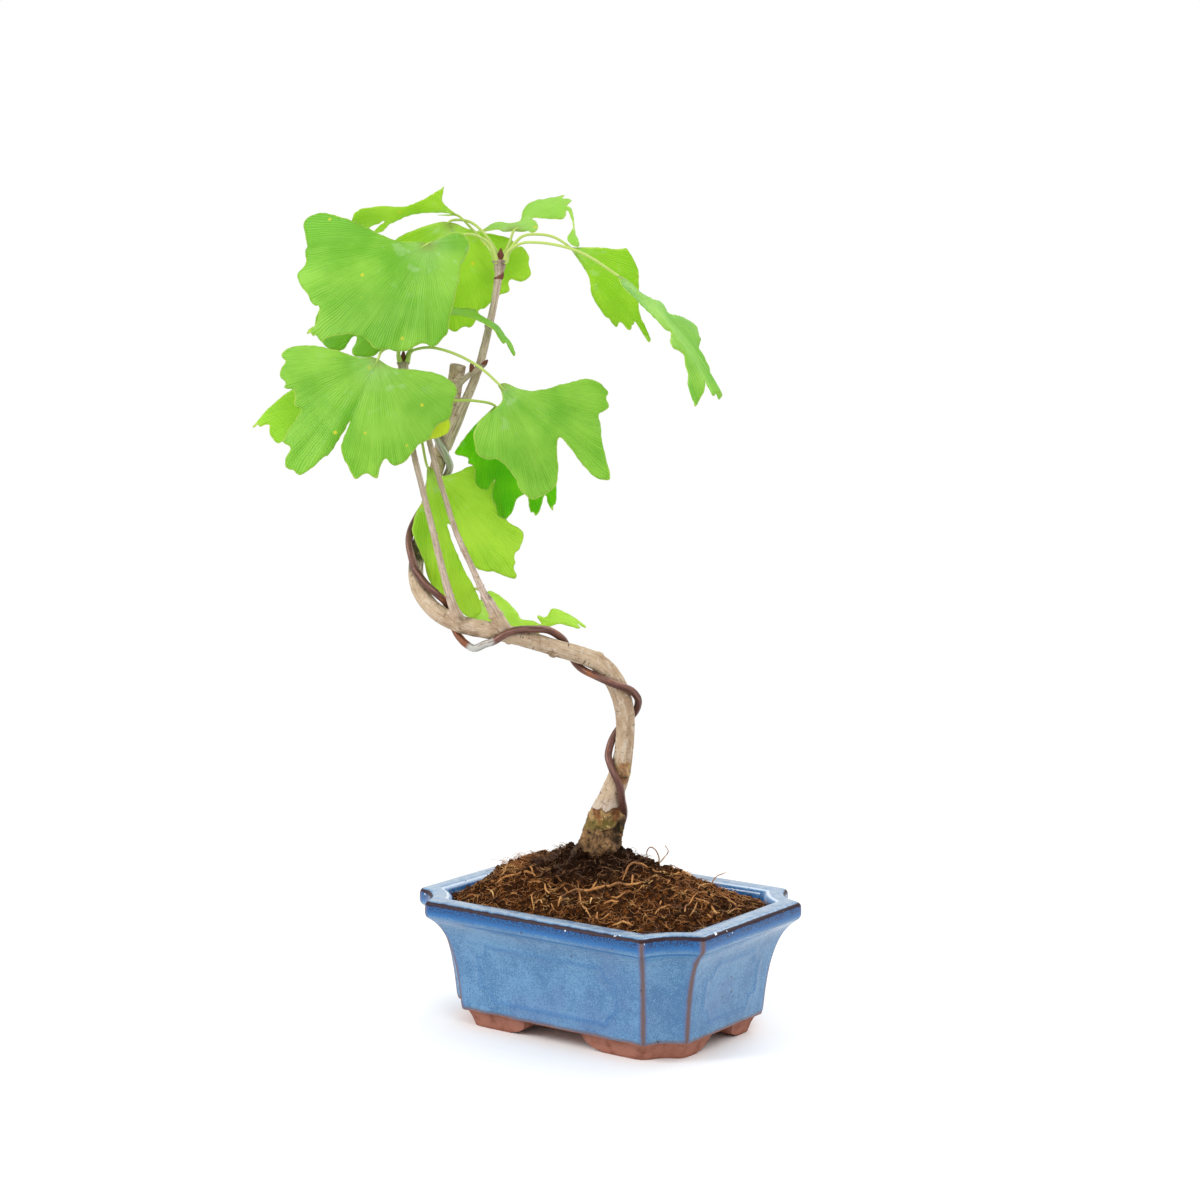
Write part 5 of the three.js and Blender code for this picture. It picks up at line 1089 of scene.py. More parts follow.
def makeWireSkin(look):
    material, surface, place, along, around = startMaterial("wireSkin", "along", "around")
    patches, fine = place.noise(150, 4, 0.6), place.noise(1600, 3)
    drawn = place.add("ShaderNodeCombineXYZ", {0: around * 8.0, 1: along * 60.0}).noise(1.2, 4, 0.6)

    def stretch(low, high):
        return along.ease(low, low + 0.002) * along.ease(high, high - 0.002)

    worn = stretch(0.188, 0.2035) * drawn.ease(0.66, 0.56)
    upper = stretch(0.294, 0.34) * drawn.ease(0.62, 0.48, 0.35, 1.0)
    scraped = worn.most(upper).most(place.noise(210, 4, 0.75).ease(0.72, 0.76, 0, 0.5))
    base = coats(
        look, "rust", (drawn.ease(0.35, 0.65), "brown"), (patches.ease(0.56, 0.68, 0, 0.75), "orange"),
        (stretch(0.2005, 0.214) * drawn.ease(0.3, 0.6, 0.9, 0.4), "orange"),
        (scraped, coats(look, "scraped", (along.ease(0.25, 0.29), "dull"))),
        (along.ease(0.052, 0.036) * patches.ease(0.3, 0.6, 0.95, 0.5), "mud"))
    feed(surface, {"Base Color": base, "Metallic": 0.45, "Roughness": fine.ease(0.3, 0.8, 0.36, 0.55),
                   "Normal": (fine + drawn * 1.5).bump(0.25, 0.0003)})
    return material


def makeWire():
    skin, route = makeWireSkin(wireLook), strandToScene(wirePath())
    wire = sweep("trainingWire", [route], skin, sides=18, spacing=0.7, relief=0.12, grain=500)
    points = meshPoints(wire)
    index, _ = nearestOn(points, route)
    ahead = np.gradient(route[:, :3], axis=0)[index]
    ahead /= np.linalg.norm(ahead, axis=1)[:, None]
    up = np.cross(ahead, treeFront)
    storeValues(wire, "around", turnsAbout(points - route[index, :3], up, np.cross(up, ahead)) / 6.3)
    finishPiece(wire, skin, "wire", "training_wire")


makeWire()
print("wire made")


# Leaves, in tree millimetres. apex: where petiole and blade meet. along: way the blade points. face: side seen.
# droop and fold: curvature along and across, per mm. pleats: [angle, width, height] of creases. patches: [angle, width,
# reach, spread, amount] of lighter or darker stretches. outline: the flat edge in mm as [along, across] from the apex.

leafForm = {
    "thickness": 0.34, "rimWidth": 1.5, "apexThickness": 0.35, "apexReach": 5, "meshStep": 1.3, "rimStep": 0.85,
    "slopeStep": 0.3, "tooth": 0.16, "petiole": 0.6,
    "start": [[-0.8, -0.8, 1.35], [0, 0.6, 1.15], [0.7, 2.85, 0.85]],  # petiole on its spur: [out, up, radius]
    "lowStart": [[-53.2, -3.4, 186.5, 1.25], [-53.4, -1.6, 186.9, 0.95]],
}
spurs = {"crown": [-45.5, 4, 328.5, 2.6], "left": [-86, -8, 286.5, 2.1], "middle": [-77.5, -5, 266, 2.1]}
leaves = {
    "leaf_crown_front": dict(
        look="green", tone=-0.15, spur="crown", bearing=225,
        via=[[-50.5, 1.5, 336], [-58, -1.5, 339.4], [-66.5, -6.5, 337]],
        apex=[-74.8, -14, 335.2], along=[-0.72, -0.25, -0.62], face=[-0.12, -0.9, 0.35], droop=0.006, fold=0.01,
        pleats=[[-47, 5, 2.0], [-27, 6, -1.2], [0, 6, 1.5], [22, 5, -1.0], [45, 6, 1.4]],
        patches=[[-66, 8, 45, 25, -0.7], [95, 25, 14, 12, 0.8]],
        outline=[[1.8, -3], [6.2, -7.6], [8.6, -11.2], [14.8, -34.6], [19.7, -50], [23.4, -53.9], [26.9, -54.1],
                 [28.9, -52], [34.9, -41], [37.6, -38.7], [39.6, -35.4], [41.3, -34.4], [45.8, -34.2], [47.2, -32.8],
                 [49.5, -26.1], [50.3, -21], [51.2, -19.3], [50.9, -15.6], [49.9, -14.7], [55.6, -9.9], [60.6, -10.6],
                 [62.3, -9.9], [60.8, -9.1], [60.8, -7.1], [59.9, -6.8], [59.8, -2.4], [58, -2.3], [52.6, 1.8],
                 [46.5, 9.9], [46.1, 17], [43.4, 20.3], [37.8, 26.3], [29.6, 29.9], [28.5, 32.4], [26.3, 33.8],
                 [18.5, 33.3], [14.6, 29.7], [8.1, 25.6], [4.9, 22.8], [1.7, 21.1], [-3.5, 16.5], [-9.2, 14.5],
                 [-11.8, 12.6], [-14, 7.9], [-13.4, 5.5], [-11.8, 3.5], [-9.1, 2.3]]),
    "leaf_left_front": dict(
        look="green", tone=0.05, spur="left", bearing=230,
        via=[[-88, -14.5, 291.5], [-91, -19, 292.5], [-94, -21, 291]],
        apex=[-95.3, -22, 288], along=[-0.25, -0.25, -0.93], face=[0, -0.95, 0.3], droop=0.006, fold=0.008,
        pleats=[[-62, 7, 1.2], [-30, 5, 1.0], [-10, 3, -1.6], [12, 5, 1.2], [40, 7, 0.9]],
        patches=[[-12, 5, 30, 20, -0.5]],
        outline=[[-0.2, -2.6], [1.2, -8.3], [0.3, -18.6], [0.9, -32], [2.9, -37.9], [4.6, -40.2], [6.5, -41.3],
                 [8.1, -40.4], [9.1, -38.6], [13.2, -39.6], [15.7, -39.1], [16.8, -38.3], [18.5, -35.4],
                 [20.3, -35.9], [20.8, -31.3], [23.1, -30.2], [25.6, -30], [27, -28.3], [27.1, -26.4], [28.3, -26.1],
                 [30.7, -27.3], [42, -30.8], [43.1, -29.6], [43.5, -27.6], [44.6, -26.5], [50.5, -28], [53.3, -25.3],
                 [53.2, -23.5], [54.8, -20], [51.5, -15.9], [44.7, -11.4], [44, -10.2], [27.6, -4.7], [34.4, -5.6],
                 [40.3, -5.5], [45.7, -1.6], [50.3, 3.3], [47.7, 5.7], [46.9, 7.2], [48.1, 10.5], [48, 12],
                 [43.5, 12], [40.6, 12.6], [39.2, 13.5], [40.9, 16.1], [41, 17.8], [38.5, 21.5], [29.6, 25.7],
                 [27.6, 27.8], [25, 29.3], [21.9, 29.8], [18.6, 31.9], [16.9, 34.1], [14.6, 35.2], [9.2, 34.7],
                 [3.5, 34.9], [0.9, 32], [-0.5, 26.8], [-0.3, 20], [1.9, 7.8], [1.7, 5.2]]),
    "leaf_right_front": dict(
        look="green", tone=0.05, spur="left", bearing=-20,
        via=[[-82, -10, 291], [-74.5, -13, 292.5], [-64, -16, 290], [-53.5, -18, 284.5]],
        apex=[-45.5, -18, 277.4], along=[0.62, -0.2, -0.75], face=[0.1, -0.9, 0.35], droop=0.008, fold=0.008,
        pleats=[[-40, 6, 1.2], [-8, 5, -1.2], [17, 4, 1.2], [40, 5, -0.9]],
        patches=[[8, 5, 20, 20, -0.4]],
        outline=[[-0.1, -0.5], [2.7, -1.1], [6, -3.1], [7.1, -6.6], [7, -12.4], [7.7, -17.6], [10.4, -21.6],
                 [12.4, -22.9], [16.6, -24.9], [18.6, -25], [22.4, -22.7], [23.6, -20.9], [27.2, -18.9],
                 [35.6, -18.8], [41.5, -19.8], [45.5, -18.5], [47.1, -17.4], [47.6, -15.7], [47.7, -5.6],
                 [44.1, -1.8], [39.1, 1.2], [32.8, 6.1], [32.7, 7], [48.2, 8.5], [55.6, 10], [60.3, 14.6],
                 [58.4, 15.9], [44.1, 21.7], [37.6, 26.1], [35.5, 26.8], [33.9, 28.4], [34.1, 32.6], [33.2, 34.5],
                 [29.9, 35.6], [28.6, 37.9], [24.1, 37.2], [20, 34.1], [18.6, 31.8], [10.9, 10.7], [6.7, 5.9],
                 [1.1, 2.3]]),
    "leaf_right_back": dict(
        look="deep", tone=-0.1, spur="middle", bearing=10, via=[[-74, -5, 269.5], [-66.5, -5, 270], [-56, -6, 270]],
        apex=[-47.8, -4, 267.8], along=[0.1, 0.03, -0.97], face=[0.15, -0.95, 0.2], droop=0.006, fold=0.006,
        pleats=[[-30, 5, 0.9], [-3, 4, -0.9], [17, 4, 0.9]],
        outline=[[7.4, -9.7], [15.1, -16.9], [18.1, -18.9], [20.6, -14], [21.5, -13.5], [23.2, -13.8], [23.9, -12.2],
                 [25.7, -11.1], [30.1, -11.7], [33.8, -10.5], [35.4, -7.6], [35.4, -6.3], [31.5, -3.2], [36.7, -4.9],
                 [39.8, -5.2], [43.2, -3.5], [47.9, -2.9], [48.7, -2.1], [50, 0.8], [46.4, 3.7], [41.6, 5.7],
                 [39.4, 8.9], [39.5, 10], [48.4, 11.4], [48.1, 12.7], [50.1, 13.3], [46.5, 15.9], [42.3, 17.1],
                 [41, 18.1], [46.8, 19.5], [48.4, 21], [46.1, 21.3], [45.8, 22.2], [36.8, 23.3], [30.5, 23.3],
                 [19.3, 21.1], [7.7, 14.3], [1.6, 6.3]]),
    "leaf_crown_back": dict(
        look="bright", tone=0.0, spur="crown", bearing=118, via=[[-54.2, 6, 341.8], [-60.7, 10.5, 345.4]],
        apex=[-67.6, 13, 344.8], along=[0.12, 0.03, -0.98], face=[0.1, -0.98, 0.1], droop=0.004, fold=0.006,
        pleats=[[-45, 6, 0.8], [-10, 6, -0.8], [25, 6, 0.8]],
        outline=[[-0.5, -3.8], [4.9, -24.1], [9.5, -26], [17.1, -26.2], [28, -24.6], [36, -19.2], [41.1, -13.3],
                 [43.6, -7.6], [46.4, -4.5], [46.7, -2.4], [45.4, -0.5], [45, 1.3], [45.7, 3.4], [42, 6.8],
                 [39.4, 7.5], [38.3, 8.6], [38.3, 10.3], [33.3, 17.4], [32.2, 22], [28.8, 22.1], [27.6, 23.4],
                 [28.8, 27.7], [28.5, 29.9], [26.6, 32.4], [21, 32], [19.3, 32.6], [16.7, 31.8], [14, 29.5],
                 [13.5, 27.3], [10.8, 25.9], [3.4, 6.8], [1.2, 3.3]]),
    "leaf_right_hang": dict(
        look="bright", tone=-0.4, spur="crown", bearing=18,
        via=[[-36.5, 4.5, 338.5], [-30, 5, 339.5], [-23, 5, 338.3]],
        apex=[-16.2, 5, 334], along=[0.64, 0.08, -0.76], face=[-0.2, -0.96, -0.2], droop=0.004, fold=0.006,
        pleats=[[0, 4, 1.0], [20, 5, -0.8]],
        patches=[[-10, 6, 25, 18, 0.5]],
        outline=[[13.2, -1.8], [17.3, -3.7], [20.9, -6.3], [32.9, -8.4], [34.2, -7.8], [36.7, -8.3], [39.1, -7.9],
                 [38.2, -5.4], [43.6, -4.6], [43.6, -3.6], [42.6, -2.3], [42.8, -1.4], [41.8, 0], [53.5, -2.2],
                 [53.2, -0.8], [39.8, 4.6], [27.1, 15], [22.1, 17.2], [16.6, 18.1], [15.3, 18.1], [14, 15.9],
                 [7.5, 9.3]]),
    "leaf_far_right": dict(
        look="green", slot="bright", tone=-0.2, spur="crown", bearing=-35,
        via=[[-37, -1, 335.5], [-31, -4, 336], [-20, -7, 334.5], [-10, -9, 331]],
        apex=[3.9, -10, 322.1], along=[0.84, 0, -0.54], face=[0.53, -0.22, 0.82], droop=0.009, fold=0.004,
        pleats=[[-22, 5, 1.2], [0, 4, -1.2], [12, 4, 1.0]],
        patches=[[-26, 9, 25, 22, 0.8]],
        outline=[[2.9, -9.5], [6, -13.3], [10.6, -15.7], [20.4, -16.2], [24.9, -15.3], [28.6, -16], [31.1, -14.5],
                 [32.4, -19.4], [34.1, -22.9], [39, -20], [41.1, -20], [44.2, -24.2], [46.9, -26.2], [51.1, -36.8],
                 [53.8, -36.1], [55.8, -34.6], [56.7, -35.9], [57.8, -34.2], [57.9, -29], [56.9, -24], [55.4, -20.1],
                 [58.1, -21.9], [63.2, -16.3], [63.9, -11.6], [65.6, -9.9], [67.5, -4.5], [67.8, 2.1], [66.7, 5.3],
                 [60.6, 5.1], [57.7, 2.8], [57.4, 7.9], [55.3, 9.7], [51.9, 9.7], [49.1, 13], [46.9, 20.2],
                 [44.7, 34.1], [41.7, 40.8], [37.4, 35.6], [33.5, 27.1], [30.2, 17.4], [26, 9.6], [23.9, 12.2],
                 [21, 12.4], [16.3, 3.5], [11.2, 0.6], [3.1, 2.8]]),
    "leaf_low_front": dict(
        look="bright", tone=0.1, spur="middle", bearing=120,
        via=[[-80.8, -0.3, 267.2], [-81, 1.5, 261], [-79, 2, 252]],
        apex=[-76.8, -1, 242.3], along=[0.25, 0, -0.97], face=[0.1, -0.99, 0.05], droop=0.006, fold=0.004,
        pleats=[[-25, 5, 1.0], [0, 3, -1.2], [18, 4, 0.9], [36, 5, -0.8]],
        patches=[[6, 6, 40, 20, -0.5], [0, 9, 66, 18, 1.3], [-18, 9, 26, 14, -0.7]],
        outline=[[9.7, -3.2], [13.1, -5.2], [18.5, -10.1], [21.6, -11.8], [24.8, -13.1], [28.5, -13.1], [39.9, -11.6],
                 [47.4, -11.7], [51.4, -10.9], [56.9, -8.7], [61.3, -5.7], [64.8, -2.5], [69.6, 0], [71.6, 3.2],
                 [69.7, 6.7], [64.7, 7.3], [57, 6.4], [47.6, 4.2], [34, 2.2], [26.1, 2.2], [27.5, 3.4], [31.1, 4.7],
                 [48.1, 8.9], [51.2, 13.1], [52.3, 16], [58.5, 24.5], [57.3, 25.4], [52.9, 25.3], [50.9, 26.6],
                 [48.9, 26.4], [46.8, 27.4], [46.3, 29.1], [44.8, 30.3], [39.1, 33], [33.1, 28.2], [30.5, 27],
                 [22.4, 27.3], [12.1, 25.5], [6.2, 21.7], [4.7, 17.7], [5.9, 11.6], [5.6, 4.6], [4.4, 3.2],
                 [1.9, 2.1]]),
    "leaf_crown_left": dict(
        look="bright", tone=0.0, spur="crown", bearing=170, via=[[-51.5, 7, 335], [-57, 11, 341]],
        apex=[-64.4, 16, 347.8], along=[-0.8, -0.3, -0.1], face=[0.1, -0.5, -0.86], droop=0.004, fold=0.004,
        pleats=[[-20, 6, 1.0], [8, 5, -1.0]],
        outline=[[7.8, -10.1], [9, -12.8], [10, -22.3], [10.9, -20.1], [15.2, -17], [18.1, -14.1], [25, -9.5],
                 [27.5, -9.2], [31.1, -9.8], [35.3, -9.3], [43.2, -5.8], [45.5, 0.5], [44.9, 4.5], [40.8, 8.3],
                 [37.5, 7.3], [31.4, 1], [34.4, 10.7], [31.1, 9.8], [28.6, 4.4], [25, 0.3], [20.3, -2.6], [15, -4.1],
                 [9.7, -3.8], [5, -2.7]]),
    "leaf_crown_right": dict(
        look="green", tone=0.6, spur="crown", bearing=68, via=[[-43.2, 7.5, 333], [-41.5, 8.5, 337]],
        apex=[-39.9, 9, 341.2], along=[0.8, 0.3, 0.2], face=[-0.1, -0.6, 0.8], droop=0.004, fold=0.004,
        pleats=[[10, 5, 0.8], [30, 5, -0.7]],
        outline=[[3.1, -2.3], [5.4, -2.5], [6, -4.2], [7.3, -4.5], [9.4, -3], [10.8, -0.6], [11.2, 2.6], [10.7, 5.7],
                 [11.8, 6.2], [14.6, 4], [17.3, 2.7], [23.3, 1.5], [24.9, 2.5], [27.4, 6.7], [26.1, -2.1],
                 [23.9, -7.2], [18.4, -13.9], [19.2, -18.3], [21.4, -19.6], [23.5, -11.1], [29.3, 4.8], [29.8, 8.3],
                 [29.1, 10.1], [33.4, 15.4], [30.6, 18.6], [32.5, 20.9], [17.8, 20.2], [15.5, 19.1], [10, 13.9],
                 [4.7, 5.7], [-0.2, 6.1], [-2.1, 8.2], [-4.1, 8.9], [-6.5, 8.7], [-11.5, 6.5], [-13.8, 6.5],
                 [-11.7, 4.9], [-5.5, 3.4], [-4.5, 1.2]]),
    "leaf_inner_small": dict(
        look="green", tone=-0.2, spur="left", bearing=50, via=[[-82, -7.5, 293], [-77, -8.5, 302]],
        apex=[-71.3, -8, 307.2], along=[0.85, -0.1, -0.3], face=[0.35, -0.6, 0.75], droop=0.02, fold=0.006,
        pleats=[[20, 4, 0.8]],
        outline=[[2.6, 0.2], [8.8, 3.6], [16.4, 6.8], [24, 8.1], [31, 5.7], [31.8, 8.1], [33.8, 6.8], [38.4, 6.3],
                 [38.1, 8.3], [33.2, 11], [30.4, 11.2], [25.9, 13.4], [20.8, 13.5], [18.5, 12.4], [14.9, 12.4],
                 [13.5, 13.5], [7.1, 8.7], [1.6, 3.1]]),
    "leaf_inner_left": dict(
        look="green", tone=0.0, spur="left", bearing=140, via=[[-87.5, -3, 293], [-88.5, -1, 304]],
        apex=[-89.4, -6, 308], along=[-0.55, -0.1, -0.83], face=[0, -0.97, 0.2], droop=0.006, fold=0.006,
        pleats=[[-30, 5, 0.9], [10, 5, -0.8]],
        patches=[[-40, 14, 30, 18, -0.7], [25, 16, 20, 14, 0.5]],
        outline=[[-0.2, -5.2], [1.9, -13.9], [5.4, -21.9], [11, -26], [18.3, -27.4], [24.4, -24.4], [28.7, -17],
                 [28.6, -14.4], [26.2, -9.8], [18.8, -8.7], [18.2, -7.3], [25, -5.5], [25.3, -3.8], [22.2, 1.8],
                 [20.1, 3.5], [17.8, 4], [11.7, 8.1], [6.4, 9.2], [1, 4.7]]),
    "leaf_low_left": dict(
        look="bright", tone=-0.5, spur="middle", bearing=195,
        via=[[-84, -6, 270.5], [-90, -5, 272.5], [-97, -6, 273.7]],
        apex=[-103.5, -7, 273.8], along=[-0.9, -0.1, -0.4], face=[-0.1, -0.9, 0.4], droop=0.006, fold=0.006,
        pleats=[[-18, 5, 0.8], [5, 4, -0.8]],
        patches=[[-2, 5, 26, 14, -0.8]],
        outline=[[1.6, -3.8], [8.2, -10.3], [18.2, -14.7], [27.2, -15.1], [33.3, -14.4], [48.9, -9.3], [47.8, -8.6],
                 [46.1, -9.1], [45.9, -7.7], [43.7, -7.4], [41.8, -6], [43, -2.1], [42.3, 2], [41.5, 3.5],
                 [38.8, 4.2], [37.8, 6.3], [34.6, 8.1], [26.3, 10.2], [13.9, 8.9], [4.9, 4.1]]),
    "leaf_low_small": dict(
        look="bright", slot="green", tone=2.0, spur="middle", bearing=280, via=[[-77.5, -9, 269.5]],
        apex=[-79.2, -12, 271.5], along=[0.3, -0.1, -0.95], face=[0, -0.95, 0.3], droop=0.006, fold=0.006,
        pleats=[[0, 8, 0.5]],
        outline=[[1.1, -2.1], [1.9, -8], [5.3, -10.9], [10.6, -10.8], [15, -7.8], [14.3, -4.5], [17.5, -3.3],
                 [18.1, 0], [17.7, 6.3], [16.4, 8], [14.6, 9], [12.4, 9.2]]),
    "leaf_low_back": dict(
        look="bright", tone=0.2, spur="low", bearing=0, via=[[-53.8, 2, 188], [-57, 9, 188.8], [-61.5, 15.5, 186.5]],
        apex=[-61.5, 19.4, 181.4], along=[0.95, 0.1, -0.28], face=[-0.05, -0.7, 0.7], droop=0.004, fold=0.004,
        pleats=[[5, 5, 0.6]],
        outline=[[-0.3, -3.4], [9.1, -10.9], [15.8, -12.7], [23.1, -12.1], [29.9, -8.3], [37, 0], [41.2, 3.4],
                 [43.5, 4.3], [51.3, 5.2], [52.1, 6.1], [50.4, 7.8], [50.8, 8.3], [51.9, 7.4], [54, 7], [54.9, 7.6],
                 [52.6, 9.5], [46.8, 11.6], [38.1, 11.5], [37.3, 10.6], [36, 6], [34.8, 4.9], [32.4, 5], [31.9, 3.7],
                 [34.5, 0.9], [30.1, 1.3], [25.1, 0.3], [21.8, 3.7], [16.5, 7.7], [11.6, 9.8], [8.8, 9.9], [5.7, 3.7],
                 [3, 3.5], [0.6, 1.9]]),
}

leafLook = {
    "green": {"top": (0.38, 0.69, 0.085), "deep": (0.165, 0.49, 0.018), "glow": (0.48, 0.76, 0.12)},
    "deep": {"top": (0.25, 0.70, 0.004), "deep": (0.09, 0.47, 0.001), "glow": (0.30, 0.78, 0.01)},
    "bright": {"top": (0.53, 0.80, 0.07), "deep": (0.28, 0.60, 0.010), "glow": (0.62, 0.86, 0.09)},
    "margin": (0.62, 0.77, 0.15), "spot": (0.85, 0.72, 0.06), "stalk": (0.40, 0.52, 0.11),
    "sheen": (0.62, 0.80, 0.48), "yellow": (0.84, 0.88, 0.04),
}


def makeLeafSkin(kind, look):
    material, surface, place, degrees, reach, rimGap, isBlade, tone = startMaterial(
        "leaf" + kind.capitalize(), "degrees", "reach", "rimGap", "blade", "tone")
    bent = degrees + (place.noise(60, 2) - 0.5) * 5
    wave, *finer = ((bent * (2 * math.pi / spacing)).calc("COSINE") for spacing in (5.2, 2.6, 1.3))
    for fork, veins in zip((reach.ease(7, 13), reach.ease(22, 31)), finer):  # veins fork where they grow apart
        wave = wave + fork * (veins - wave)

    def fan(across, out, *values):  # noise drawn out along the veins
        return place.add("ShaderNodeCombineXYZ", {0: bent * across, 1: reach * out, 2: tone}).noise(1.0, *values)

    streaks, pleats, patches = fan(0.9, 0.035, 3, 0.6), fan(0.16, 0.075, 2), place.noise(55, 3)
    edge = (rimGap + patches * 0.6).ease(1.0, 0.35) * place.noise(130, 2).ease(0.38, 0.6, 0.3, 0.95)
    blade = coats(
        look, "deep", ((streaks * 0.36 + patches * 0.64 + tone * 0.3).ease(0.3, 0.68), "top"),
        (wave.ease(0.35, 1.0) * 0.46, "glow"),
        (reach.ease(16, 3) * streaks.ease(0.35, 0.65, 0.15, 0.8) * 0.4, "sheen"),
        (reach.ease(30, 10) * place.noise(230, 3).ease(0.58, 0.68) * 0.35, "sheen"),
        (tone.ease(1.5, 2.0, 0, 0.85), "yellow"),
        (place.cells(105).ease(0.11, 0.05) * place.noise(40, 1).ease(0.44, 0.54), "spot"),
        (edge, "margin"), (reach.ease(5.5, 1.5, 0, 0.7), "stalk"))
    skin = coats(look, "stalk", (isBlade, blade))
    feed(surface, {
        "Base Color": skin, "Roughness": streaks.ease(0.2, 0.8, 0.36, 0.52),
        "Specular IOR Level": 0.15 if kind == "deep" else 0.42,
        "Normal": (wave * 0.5 + streaks * 0.8 + pleats * 4.0).bump(0.5, 0.0003)})
    through = coats(look, "stalk", (isBlade, coats(look, skin, (0.55, "glow"))))
    mixShader(material, isBlade * 0.5, place.add("ShaderNodeBsdfTranslucent", {"Color": through}))
    return material


def unit(vector):
    vector = np.asarray(vector, float)
    return vector / np.linalg.norm(vector)


def bladeSurface(leaf, ahead, aside):
    along, face = unit(leaf["along"]), np.asarray(leaf["face"], float)
    face = unit(face - along * (face @ along))
    side = np.cross(face, along)
    reach, degrees = np.hypot(ahead, aside), np.degrees(np.arctan2(aside, ahead))
    (out, drop), (across, sink) = (
        (np.sin(bend * far) / bend, (1 - np.cos(bend * far)) / bend)
        for bend, far in ((leaf["droop"], ahead), (leaf["fold"], aside)))
    # shallow waves, deeper towards the rim
    rise = 1.1 * (reach / 45) ** 2 * np.sin(0.13 * degrees + leaf["bearing"])
    rise = rise + 0.35 * (reach / 45) ** 3 * np.sin(0.37 * degrees + 1.7 * leaf["bearing"])
    rise = rise + 0.12 * np.clip(reach / 25, 0, 1) * np.sin(1.1 * degrees + 0.05 * reach)
    for middle, width, height in leaf["pleats"]:  # creases run out from the apex
        gap = np.abs(degrees - middle) / width
        rise = rise + height * np.clip(reach / 45, 0, 1.2) * np.exp(-gap ** 1.3)
    return (np.asarray(leaf["apex"], float) + out[..., None] * along + across[..., None] * side
            + (rise - drop - sink)[..., None] * face)


def outlineOf(leaf, seed):  # edge of the flat blade, smoothed through its points and finely toothed
    corners = np.array([[0, 0]] + leaf["outline"] + [[0, 0]], float)
    line = smoothLine(np.column_stack([corners, 0 * corners]), 10)[:, :2]
    steps = lengthsOf(line)
    at = np.linspace(0, steps[-1], int(steps[-1] / leafForm["rimStep"]), endpoint=False)
    line = pointsAt(at, steps, line)
    travel = np.roll(line, -1, 0) - np.roll(line, 1, 0)
    outward = np.column_stack([travel[:, 1], -travel[:, 0]]) / np.linalg.norm(travel, axis=1, keepdims=True)
    rng = np.random.default_rng(seed)
    rough = np.convolve(rng.normal(0, 1, len(at) + 2), [0.25, 0.5, 0.25], "valid")
    quiet = np.clip((np.hypot(*line.T) - 6) / 10, 0, 1)
    return line + outward * (quiet * rough * leafForm["tooth"])[:, None]


def gapTo(line, points):  # distance of each point from a closed line
    best = np.full(len(points), 1e9)
    for start, end in zip(line, np.roll(line, -1, 0)):
        span = end - start
        share = np.clip((points - start) @ span / max(span @ span, 1e-9), 0, 1)
        best = np.minimum(best, np.linalg.norm(points - start - share[:, None] * span, axis=1))
    return best


def isInside(line, points):
    inside = np.zeros(len(points), bool)
    for (x0, y0), (x1, y1) in zip(line, np.roll(line, -1, 0)):
        if y0 != y1:
            crosses = (y0 > points[:, 1]) != (y1 > points[:, 1])
            inside ^= crosses & (points[:, 0] < x0 + (points[:, 1] - y0) * (x1 - x0) / (y1 - y0))
    return inside


def fillOutline(line, step):  # even triangles inside a closed line, and their points
    low, high = line.min(0), line.max(0)
    across, up = np.arange(low[0], high[0], step), np.arange(low[1], high[1], step * math.sqrt(0.75))
    x, y = np.meshgrid(across, up)
    x[1::2] += step / 2
    inner = np.column_stack([x.ravel(), y.ravel()])
    inner = inner[isInside(line, inner)]
    inner = inner[gapTo(line, inner) > step * 0.62]
    places = [Vector(p) for p in np.vstack([line, inner])]
    places, _, faces, *_ = delaunay_2d_cdt(places, [], [list(range(len(line)))], 1, 1e-4)
    points = np.array([tuple(p) for p in places])
    corners = points[np.array(faces)]
    one, other = corners[:, 1] - corners[:, 0], corners[:, 2] - corners[:, 0]
    turned = one[:, 0] * other[:, 1] - one[:, 1] * other[:, 0] < 0
    return points, [tuple(f[::-1]) if back else tuple(f) for f, back in zip(faces, turned)]


def makeBlade(name, leaf, seed):
    form, line = leafForm, outlineOf(leaf, seed)
    points, triangles = fillOutline(line, form["meshStep"])
    (ahead, aside), step, total = points.T, form["slopeStep"], len(points)
    centre = bladeSurface(leaf, ahead, aside)
    normal = np.cross(bladeSurface(leaf, ahead + step, aside) - centre,
                      bladeSurface(leaf, ahead, aside + step) - centre)
    normal /= np.linalg.norm(normal, axis=-1, keepdims=True)
    reach, gap = np.hypot(ahead, aside), gapTo(line, points)
    half = form["thickness"] / 2 * (0.5 + 0.5 * np.clip(gap / form["rimWidth"], 0, 1))  # thinner at the rim
    half += form["apexThickness"] * np.exp(-reach / form["apexReach"])
    faces = list(triangles) + [(c + total, b + total, a + total) for a, b, c in triangles]
    edges = {(f[k], f[(k + 1) % 3]) for f in triangles for k in range(3)}
    faces += [(p, p + total, q + total, q) for p, q in sorted(edges) if (q, p) not in edges]
    lift = normal * half[:, None]
    blade = meshObject(name, treeToScene(np.vstack([centre + lift, centre - lift])), faces)
    degrees, tone = np.degrees(np.arctan2(aside, ahead)), np.full(total, float(leaf["tone"]))
    for middle, width, far, spread, amount in leaf.get("patches", []):  # darker and lighter stretches of the blade
        tone += amount * np.exp(-((degrees - middle) / width) ** 2 - ((reach - far) / spread) ** 2)
    for label, values in dict(degrees=degrees, reach=reach, rimGap=np.minimum(gap, 20), blade=np.ones(total),
                              tone=tone).items():
        storeValues(blade, label, np.concatenate([values, values]))
    return blade


